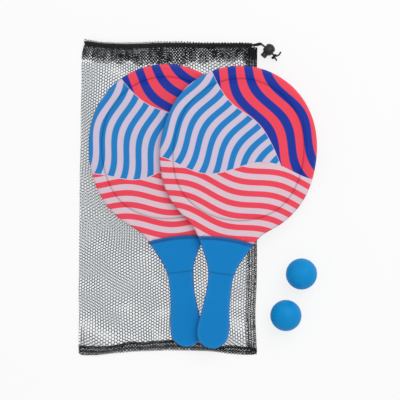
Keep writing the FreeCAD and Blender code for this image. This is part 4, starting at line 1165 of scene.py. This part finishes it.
for (height, lean, sway, sway_length), field in zip(BORDERS, fields[1:]):
    bend = sine_of(tree, axes["X"], 2 * pi / (sway_length * MM))
    bent = add(tree, "ShaderNodeMath", bend, sway * MM, height * MM, operation="MULTIPLY_ADD")
    bent = add(tree, "ShaderNodeMath", axes["X"], lean, bent, operation="MULTIPLY_ADD")
    border = add(tree, "ShaderNodeMath", axes["Y"], bent, operation="SUBTRACT")
    inside = add(tree, "ShaderNodeMapRange", {
        "Value": border, "From Min": INK_BLEED * MM, "From Max": -INK_BLEED * MM})
    shown = add(tree, "ShaderNodeMix", {0: inside, 6: shown, 7: field}, data_type="RGBA")
    width = add(tree, "ShaderNodeMath", border, operation="ABSOLUTE")
    bare = add(tree, "ShaderNodeMapRange", {
        "Value": width, "From Min": (FIELD_LINE / 2 + INK_BLEED) * MM, "From Max": FIELD_LINE / 2 * MM})
    shown = add(tree, "ShaderNodeMix", {0: bare, 6: shown, 7: paint(BLUSH)}, data_type="RGBA")


def jersey(tree, surface, dyed):
    """Finishes jersey over its dye, with painted shade in the folds marked on the piece."""
    plan = add(tree, "ShaderNodeAttribute", attribute_name="plan").outputs["Vector"]
    fold = add(tree, "ShaderNodeAttribute", attribute_name="fold").outputs["Fac"]
    rub = add(tree, "ShaderNodeAttribute", attribute_name="rub").outputs["Fac"]
    blotch, heather = [add(tree, "ShaderNodeTexNoise", {
        "Vector": plan, "Scale": 1 / (size * MM), "Detail": 2}) for size in (BLOTCH, HEATHER)]
    uneven = add(tree, "ShaderNodeMath", blotch, heather, operation="ADD")
    shade = add(tree, "ShaderNodeMapRange", {
        "Value": uneven, "From Min": 0.6, "From Max": 1.4, "To Max": 0.08})
    # Painted shade: the folds' mask, with random blotches, mixes the dye towards the near-black.
    deep = add(tree, "ShaderNodeMath", fold, CREASE_SHADE_PAINTED, shade, operation="MULTIPLY_ADD")
    toned = add(tree, "ShaderNodeMix", {0: deep, 6: dyed, 7: paint(CREASE_SHADE_COLOUR)}, data_type="RGBA")
    pale = add(tree, "ShaderNodeMath", rub, RUB_PALE, operation="MULTIPLY")
    add(tree, "ShaderNodeMix", {0: pale, 6: toned, 7: paint(RUB_COLOUR)}, to=surface["Base Color"],
        data_type="RGBA")
    wales = add(tree, "ShaderNodeTexWave", {
        "Vector": plan, "Scale": WAVE_REPEAT / (WALES * MM), "Distortion": 1.5, "Detail Scale": 3.0},
        bands_direction="X").outputs["Fac"]
    swell = add(tree, "ShaderNodeBump", {"Height": blotch, "Distance": 1.5 * MM, "Strength": 0.5})
    add(tree, "ShaderNodeBump", {"Height": wales, "Distance": 0.05 * MM, "Strength": 0.5, "Normal": swell},
        to=surface["Normal"])


jersey(tree, surface, shown)

SLEEVE_BLUE = "#0085d0"
HEM_BLUE = "#1462a8"
THREAD_BLUE = "#0a5793"
HEM_STITCH_IN = 3.4
sleeve_jersey, tree, surface = new_material("dyed polyester jersey", SLEEVE_BLUE, 0.75,
                                            Specular_IOR_Level=0.12)
plan = add(tree, "ShaderNodeAttribute", attribute_name="plan").outputs["Vector"]
reach = add(tree, "ShaderNodeVectorMath", plan, (0, HEM_CENTRE_Y * MM, 0), operation="DISTANCE")
in_hem = add(tree, "ShaderNodeMapRange", {
    "Value": reach, "From Min": (HEM_RADIUS - HEM_DEPTH - 0.3) * MM,
    "From Max": (HEM_RADIUS - HEM_DEPTH) * MM})
tone = add(tree, "ShaderNodeMix", {0: in_hem, 6: paint(SLEEVE_BLUE), 7: paint(HEM_BLUE)}, data_type="RGBA")
jersey(tree, surface, tone)

blue_thread = spun_thread("spun polyester thread, blue", THREAD_BLUE)

for paddle in PADDLES:
    head = cover(paddle + "_head_cover", head_rings(), head_swell, head_shade_and_rub, paddle, printed_jersey)
    sleeve = cover(paddle + "_grip_sleeve", grip_rings(), grip_swell, grip_shade_and_rub, paddle, sleeve_jersey)
    for piece, kind, slot in ((head, "head_cover", "printed_neoprene"),
                              (sleeve, "grip_cover", "blue_neoprene")):
        node = f"{paddle}_paddle_{kind}"
        fixed(piece, paddle + "_paddle", slot, node + "_top", node + "_under")
    hem = contour(RIM[0][0], False, HEM_STITCH_IN)[2 * OUTLINE_STEPS - 1:]
    rows = []
    for side in (1, -1):
        sewn_z = np.full(len(hem), side * (HALF_THICK + HEM_RISE - 0.05))
        line = on_paddle(paddle, np.column_stack([hem, sewn_z]))
        rows.append(stitched("hem row", line, 2.8, 2.1, 0.3, 0, 12, 0.05, 0.4, (0, 0, side), blue_thread))
    fixed(joined(paddle + "_hem_thread", rows), paddle + "_paddle", "blue_neoprene")


# Inside the covers: the frame is moulded polypropylene, grey and faintly rough from the mould. The pad is
# cross-linked EVA foam cut from a sheet, matt, with fine open cells along its cut sides.
FRAME_COLOUR = "#3b4147"
FOAM_COLOUR = "#d9d9d4"
FOAM_CELL = "#c3c3bd"

polypropylene, tree, surface = new_material("moulded polypropylene", FRAME_COLOUR, 0.48, IOR=1.49)
grained(tree, surface, 0.6, 0.03, 0.5, 3)

eva_foam, tree, surface = new_material("EVA foam", FOAM_COLOUR, 0.85)
place = add(tree, "ShaderNodeTexCoord").outputs["Object"]
cells = add(tree, "ShaderNodeTexVoronoi", {"Vector": place, "Scale": 1 / (0.7 * MM)})
add(tree, "ShaderNodeMix", {0: cells, 6: paint(FOAM_CELL), 7: paint(FOAM_COLOUR)}, to=surface["Base Color"],
    data_type="RGBA")
add(tree, "ShaderNodeBump", {"Height": cells, "Distance": 0.12 * MM, "Strength": 0.6}, to=surface["Normal"])

for paddle in PADDLES:
    finish_node(paddle + "_paddle_frame", polypropylene)
    finish_node(paddle + "_paddle_foam_pad", eva_foam)


# Balls: hollow natural rubber, moulded in two halves and cured together, matt and slightly dusty.
# A fine ridge is left round the joint, and a small plug mark at one pole.
BALL_RADIUS = 21
# The place of each ball, and how its joint is turned.
BALLS = {"upper_ball": ((138.5, -99.7), (38, 0, 20)), "lower_ball": ((117.7, -155.1), (-52, 0, -35))}
RIDGE = 0.16
RIDGE_WIDTH = 0.45
PLUG_RADIUS = 2.2
PLUG_DEPTH = 0.3
BALL_STEPS = 96
BALL_BLUE = "#008fd6"
BALL_DUST = "#2a9ddc"

ball_rubber, tree, surface = new_material("moulded natural rubber", BALL_BLUE, 0.5, Specular_IOR_Level=0.15)
place = add(tree, "ShaderNodeTexCoord").outputs["Object"]
bloom = add(tree, "ShaderNodeTexNoise", {
    "Vector": place, "Scale": 1 / (14 * MM), "Detail": 6, "Roughness": 0.6})
dusty = add(tree, "ShaderNodeMapRange", {"Value": bloom, "From Min": 0.42, "From Max": 0.75, "To Max": 0.25})
add(tree, "ShaderNodeMix", {0: dusty, 6: paint(BALL_BLUE), 7: paint(BALL_DUST)}, to=surface["Base Color"],
    data_type="RGBA")
grained(tree, surface, 0.7, 0.06, 0.5, 3)

latitudes = np.concatenate([np.linspace(*part) for part in ((0.6, 87.5, 44), (88.2, 91.8, 13),
                                                            (92.5, 179.4, 44))])
turns = np.linspace(0, 2 * pi, BALL_STEPS, endpoint=False)
rings = []
for latitude in np.radians(latitudes):
    radius = BALL_RADIUS - RIDGE + RIDGE * exp(-((latitude - pi / 2) * BALL_RADIUS / RIDGE_WIDTH) ** 2)
    radius -= PLUG_DEPTH * exp(-((latitude * BALL_RADIUS / PLUG_RADIUS) ** 4))
    width, height = radius * sin(latitude), radius * cos(latitude)
    rings.append(np.column_stack([width * np.cos(turns), width * np.sin(turns), np.full(BALL_STEPS, height)]))
corners, faces = skin(np.array(rings))
for name, ((x, y), tilt) in BALLS.items():
    leaning = np.array(Euler([radians(a) for a in tilt]).to_matrix())
    ball = new_piece(name + "_rubber", corners @ leaning.T + (x, y, BALL_RADIUS), faces, ball_rubber)
    fixed(ball, name, "ball_rubber", name)
